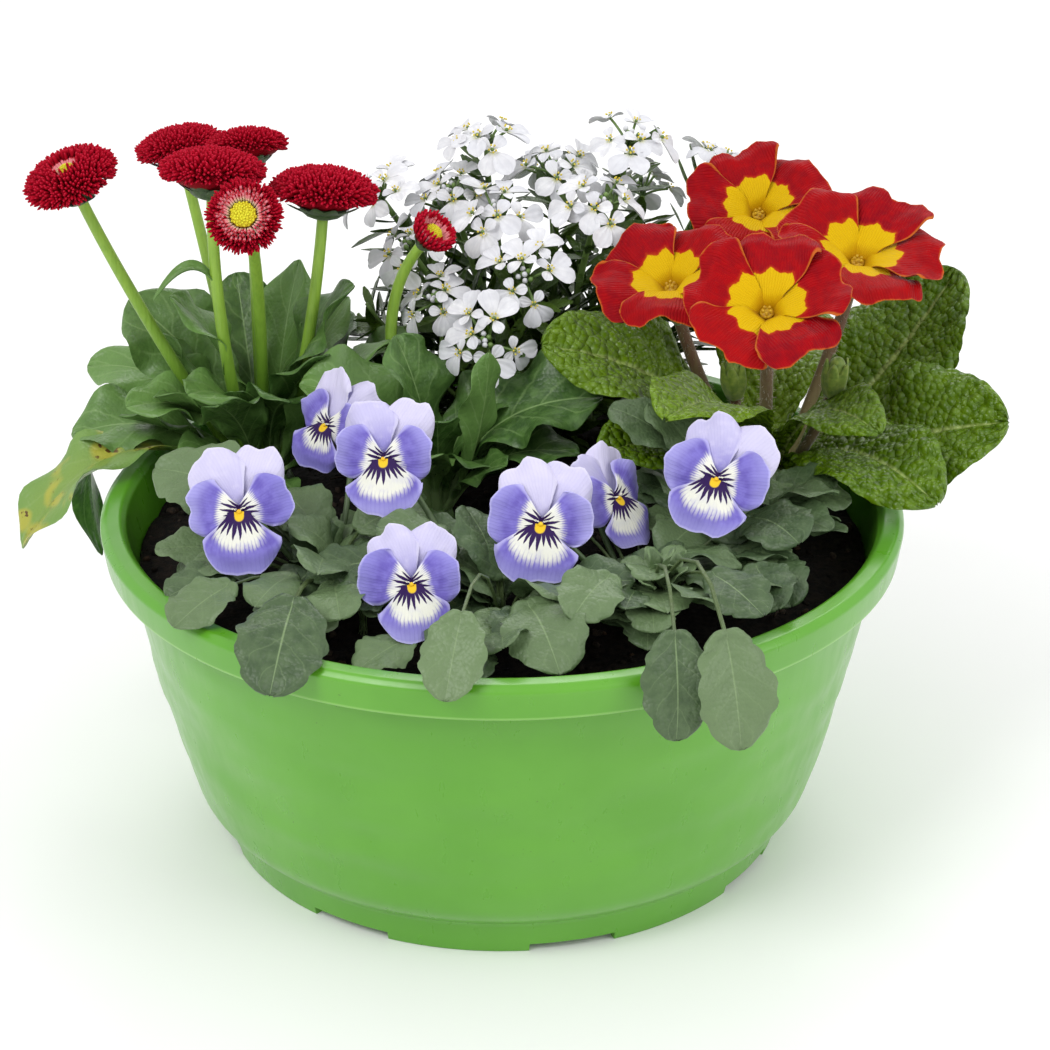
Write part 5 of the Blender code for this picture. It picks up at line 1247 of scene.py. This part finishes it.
def add_violet_petal(piece, width, petal, seat, draw):
    """A petal whose edge is waved and dented, and whose face ripples, differently in each bloom."""
    direction, length, broad, front, back, slot = petal
    turn = math.radians(direction + draw.uniform(-5, 5))
    length, broad = length * draw.uniform(0.93, 1.04), broad * draw.uniform(0.93, 1.06)
    peak, foot, round_ = (0.74, 0.30, 0.58) if slot == 2 else (0.86, 0.22, 0.46)
    u = np.linspace(0, 1, 22)[:, None]
    v = np.sin(math.pi / 2 * np.linspace(-1, 1, 21))
    wide, phase = np.abs(v), draw.uniform(0, 6.3)
    swell = np.sin(math.pi / 2 * np.minimum(1, u / peak)) ** 0.9
    wavy = 1 + 0.04 * np.sin(u * 7 + phase + np.sign(v) * 1.4)
    half = width * broad / 2 * np.sqrt((swell * wavy) ** 2 + (foot * (1 - u)) ** 2)
    dent = draw.uniform(0.0, 0.10) * np.exp(-(((v - 0.25 * math.sin(phase)) / 0.28) ** 2))
    crinkle = 0.018 * np.sin(v * 5 + phase) + 0.010 * np.sin(v * 12 + phase * 2)
    rounding = round_ * u * (1 - np.sqrt(np.maximum(0, 1 - v**2)))
    reach = width * length * u * (1 - rounding + (crinkle - dent) * smooth(0.6, 1, u))
    ruffle = 0.028 if slot else 0.034
    depth = ruffle * np.sin(v * 3.4 + phase) * smooth(0.25, 1, u)
    depth = depth + ruffle * 0.7 * np.sin(u * 6 + phase * 2) * wide**2
    depth = depth - 0.045 * wide**2 * smooth(0.1, 0.6, u)
    depth = depth + draw.uniform(-0.05, 0.05) * v * smooth(0.45, 1, u)
    depth = depth + draw.uniform(-0.07, 0.02) * smooth(0.65, 1, u) - back * length * u**2
    depth = front * MM + width * depth
    depth = depth - 0.0010 * smooth(0.2, 0.0, u) + 0.0002 * np.sin(v * 15 + u * 3) * smooth(0.15, 0.5, u)
    grid = stack(reach, -half * v, depth) @ turned(turn).T
    piece.plate(placed(grid, seat), VIOLET_PETAL, stack(v, u, draw.uniform(0, 1)), slot, 3)


def add_violet_bloom(piece, place, axis, width, roll, draw):
    """Five petals, the lower one in front, and the orange eye with its white tufts."""
    seat = stand(place, axis, roll)
    for petal in VIOLET_PETALS:
        add_violet_petal(piece, width, petal, seat, draw)
    size = width / 0.036 * MM
    piece.ball(placed(UP * 0.8 * size, seat), np.array((0.8, 0.75, 0.6)) * size, 4, seat[1])
    for way in (-1, 1):
        for k in range(TUFT_HAIRS):
            foot = np.array((way * (0.8 + 0.11 * k), 0.9 + 0.03 * k, 0.5)) * size
            tip = foot + np.array((way * -0.3, -0.3 + draw.uniform(-0.3, 0.3), 0.9)) * size
            piece.tube(placed(np.linspace(foot, tip, 3), seat), np.array((0.10, 0.13, 0.07)) * size, 5, 4)


def build_violets():
    s = np.linspace(0, 1, 7)[:, None]
    half = 0.0013 * np.sin(math.pi * (0.15 + 0.8 * s[:, 0]))
    for number in range(1, 5):
        piece, plant = Piece(), f"violet_plant_{number}"
        add_plant(piece, plant, 1, 300 + number)
        for owner, place, lean, direction, width, _ in VIOLET_BLOOMS:
            if owner != number:
                continue
            top, axis = spot(place, lean, direction)
            start, _, end = stem_curve(plant, top - axis * 0.006, axis, 0)
            path = bezier(start, end - axis * 0.014 + UP * 0.006, end + axis * 0.001, 18)
            piece.tube(path, VIOLET_STEM, 1, 8)
            seat = stand(top - axis * 0.0035, axis)
            for k in range(SEPALS):
                turn = math.tau * (k + 0.25) / SEPALS
                path = compass(turn) * (0.0004 + 0.0075 * s) + UP * (-0.0020 + 0.0005 * s)
                piece.plate(placed(strip(path, compass(turn + math.pi / 2), half, 5), seat), 0.0004, 0.4, 0)
        piece.make(plant, "foliage", "violet_leaf", "violet_leaf", "violet_stem")
    looks = [f"violet_{name}" for name in ("upper", "side", "lower", "back", "eye", "beard")]
    for i, (_, *seat, width, roll) in enumerate(VIOLET_BLOOMS, 1):
        piece, draw = Piece(), np.random.default_rng(400 + i)
        add_violet_bloom(piece, *spot(*seat), width * MM, roll, draw)
        piece.make(f"violet_bloom_{i}", "petals", "violet_blue", *looks)


# Candytuft

HEAD_BUDS = 7


def add_floret(piece, place, axis, outward, size, draw):
    """Four white petals, the two on the outer side of the head longer, and the small parts in the middle."""
    side = unit(np.cross(axis, outward))
    seat = place, np.stack((np.cross(side, axis), side, axis), axis=1)
    u = np.linspace(0, 1, 8)[:, None]
    v = np.linspace(-1, 1, 5)
    for angle, length in ((33, 1.0), (-33, 1.0), (128, 0.62), (-128, 0.62)):
        spin = turned(math.radians(angle + draw.uniform(-9, 9)))
        reach = size * length * draw.uniform(0.9, 1.05)
        half = reach * 0.37 * np.sqrt(np.maximum(0, np.sin(math.pi * np.minimum(0.99, u) ** 1.7)) + 0.02)
        bow = reach * (draw.uniform(0.15, 0.45) * u - draw.uniform(0.10, 0.45) * u**2) + half * 0.3 * v**2
        grid = stack(reach * (0.06 + 0.94 * u), -half * v, bow) @ spin.T
        piece.plate(placed(grid, seat), CANDYTUFT_PETAL, stack(v, u, draw.uniform(0, 1)), 0)
    piece.ball(place + axis * size * 0.10, size * 0.07, 1, None, 7, 5)
    for k in range(5):
        anther = placed(compass(GOLDEN * k) * size * 0.13 + UP * size * 0.2, seat)
        piece.ball(anther, size * 0.042, 2, None, 5, 4)


def add_buds(piece, top, axis, radius, draw):
    """Closed buds on short stalks in the middle of a head."""
    matrix = stand(top, axis)[1]
    for k in range(HEAD_BUDS):
        out = matrix @ compass(GOLDEN * k) * radius * 0.07 * k**0.5
        place = top + out + axis * radius * draw.uniform(0.30, 0.42)
        piece.tube(np.linspace(top, place, 4), 0.0004, 1, 5)
        piece.ball(place, np.array((0.0010, 0.0010, 0.0013)), k % 2, matrix, 7, 5, 0.5)


def add_candytuft_leaves(piece, path, draw, count=30):
    """Narrow leaves that stand off a stem all round, closer together towards its top."""
    s, v = np.linspace(0, 1, 6)[:, None], np.linspace(-1, 1, 4)
    for k in range(count):
        root, step = part_way(path, 2 + (len(path) - 4) * (k / count) ** 0.8)
        stem = unit(step)
        out = unit(np.cross(stem, unit(draw.normal(size=3))))
        away = unit(out + stem * draw.uniform(0.3, 1.0))
        over = unit(np.cross(away, stem))
        up = np.cross(over, away)
        length = draw.uniform(0.013, 0.022)
        half = length * 0.115 * np.sin(math.pi * (0.06 + 0.9 * s) ** 1.5) ** 0.8
        curve = root + away * length * s + up * length * draw.uniform(-0.15, 0.2) * s**2
        grid = strip(curve, over, half[:, 0], 4) + up * (half * 0.3 * v**2)[..., None]
        piece.plate(grid, 0.0005, stack(v, s, draw.uniform(0, 0.9)), 0)


def build_candytuft():
    plant = "candytuft_plant"
    foliage, draw = Piece(), np.random.default_rng(500)
    add_plant(foliage, plant, 1, 0)
    for tip in CANDYTUFT_SHOOTS:
        start, _, end = stem_curve(plant, place_mm(tip), UP, 0)
        bend = (start + end) / 2 + (end - start) * np.array((0.18, 0.18, -0.05))
        path = bezier(start, bend, end, 16)
        foliage.tube(path, SHOOT_STEM * np.linspace(1.1, 0.6, 16), 1, 6)
        add_candytuft_leaves(foliage, path, draw, 34)
    for i, (*seat, radius) in enumerate(CANDYTUFT_HEADS, 1):
        (top, axis), radius = spot(*seat), radius * MM
        path = bezier(*stem_curve(plant, top - axis * GAP, axis, STEM_PULL), 18)
        foliage.tube(path, CANDYTUFT_STEM * np.linspace(1.1, 0.85, 18), 1, 7)
        add_candytuft_leaves(foliage, path, draw)
        piece, matrix = Piece(), stand(top, axis)[1]
        count = 6 if radius > 0.014 else 5
        add_buds(piece, top, axis, radius, draw)
        for k in range(count):
            share = math.sqrt((k + 1.2) / count) * 0.72
            spread = matrix @ compass(GOLDEN * k + i)
            place = top + spread * radius * share
            place = place + axis * radius * (0.44 - 0.30 * share**2) * draw.uniform(0.85, 1.15)
            face = unit(axis + spread * share * draw.uniform(0.5, 1.6) + draw.normal(size=3) * 0.16)
            middle = top + axis * radius * 0.22 + spread * radius * share * 0.35
            piece.tube(bezier(top, middle, place, 6), 0.0005, 1, 5)
            add_floret(piece, place, face, spread, draw.uniform(0.0084, 0.0106), draw)
        node = f"candytuft_head_{i}"
        piece.make(node, "florets", "candytuft_white", "candytuft_petal", "candytuft_stem", "anther")
    foliage.make(plant, "foliage", "candytuft_leaf", "candytuft_leaf", "candytuft_stem")


# Stage

FLOOR_SIZE, LENS, SENSOR = 4.0, 98.9, 36
CAMERA_PLACE, CAMERA_AIM = (0, -0.8854, 0.5248), (0.0078, 0.9055, -0.4265)
LAMPS = [  # name, place, size, power
    ("key", (-0.9, -1.0, 1.5), 0.9, 16),
    ("fill", (1.2, -0.7, 0.9), 1.0, 7),
    ("rear", (0.2, 1.3, 1.3), 1.0, 8),
]


def aimed(obj, place, direction):
    """Links a lamp or camera at place, facing along direction."""
    obj.location = place
    obj.rotation_euler = direction.to_track_quat("-Z", "Y").to_euler()
    bpy.context.scene.collection.objects.link(obj)


def build_stage():
    """A pale floor, soft studio light and the photograph's camera."""
    look = Look("floor", 0.85)
    look.done(look.mix(look.noise(9, 3), (0.86, 0.86, 0.86), (0.90, 0.90, 0.90)))
    mesh = bpy.data.meshes.new("floor")
    corners = [(x * FLOOR_SIZE, y * FLOOR_SIZE, 0) for x, y in ((-1, -1), (1, -1), (1, 1), (-1, 1))]
    mesh.from_pydata(corners, [], [range(4)])
    mesh.materials.append(look.material)
    floor = bpy.data.objects.new("floor", mesh)
    bpy.context.scene.collection.objects.link(floor)
    world = bpy.data.worlds.new("studio")
    world.use_nodes = True
    backdrop = world.node_tree.nodes["Background"]
    backdrop.inputs["Color"].default_value = (1, 1, 1, 1)
    backdrop.inputs["Strength"].default_value = 0.85
    bpy.context.scene.world = world
    for name, place, size, power in LAMPS:
        lamp = bpy.data.lights.new(name, "AREA")
        lamp.energy, lamp.size = power, size
        aimed(bpy.data.objects.new(name, lamp), place, Vector((0, 0, 0.1)) - Vector(place))
    data = bpy.data.cameras.new("photo")
    data.lens, data.sensor_width = LENS, SENSOR
    camera = bpy.data.objects.new("photo", data)
    aimed(camera, CAMERA_PLACE, Vector(CAMERA_AIM))
    bpy.context.scene.camera = camera
    bpy.context.scene.view_settings.view_transform = "Standard"


build_bowl()
build_soil()
build_daisies()
build_primrose()
build_violets()
build_candytuft()
build_stage()
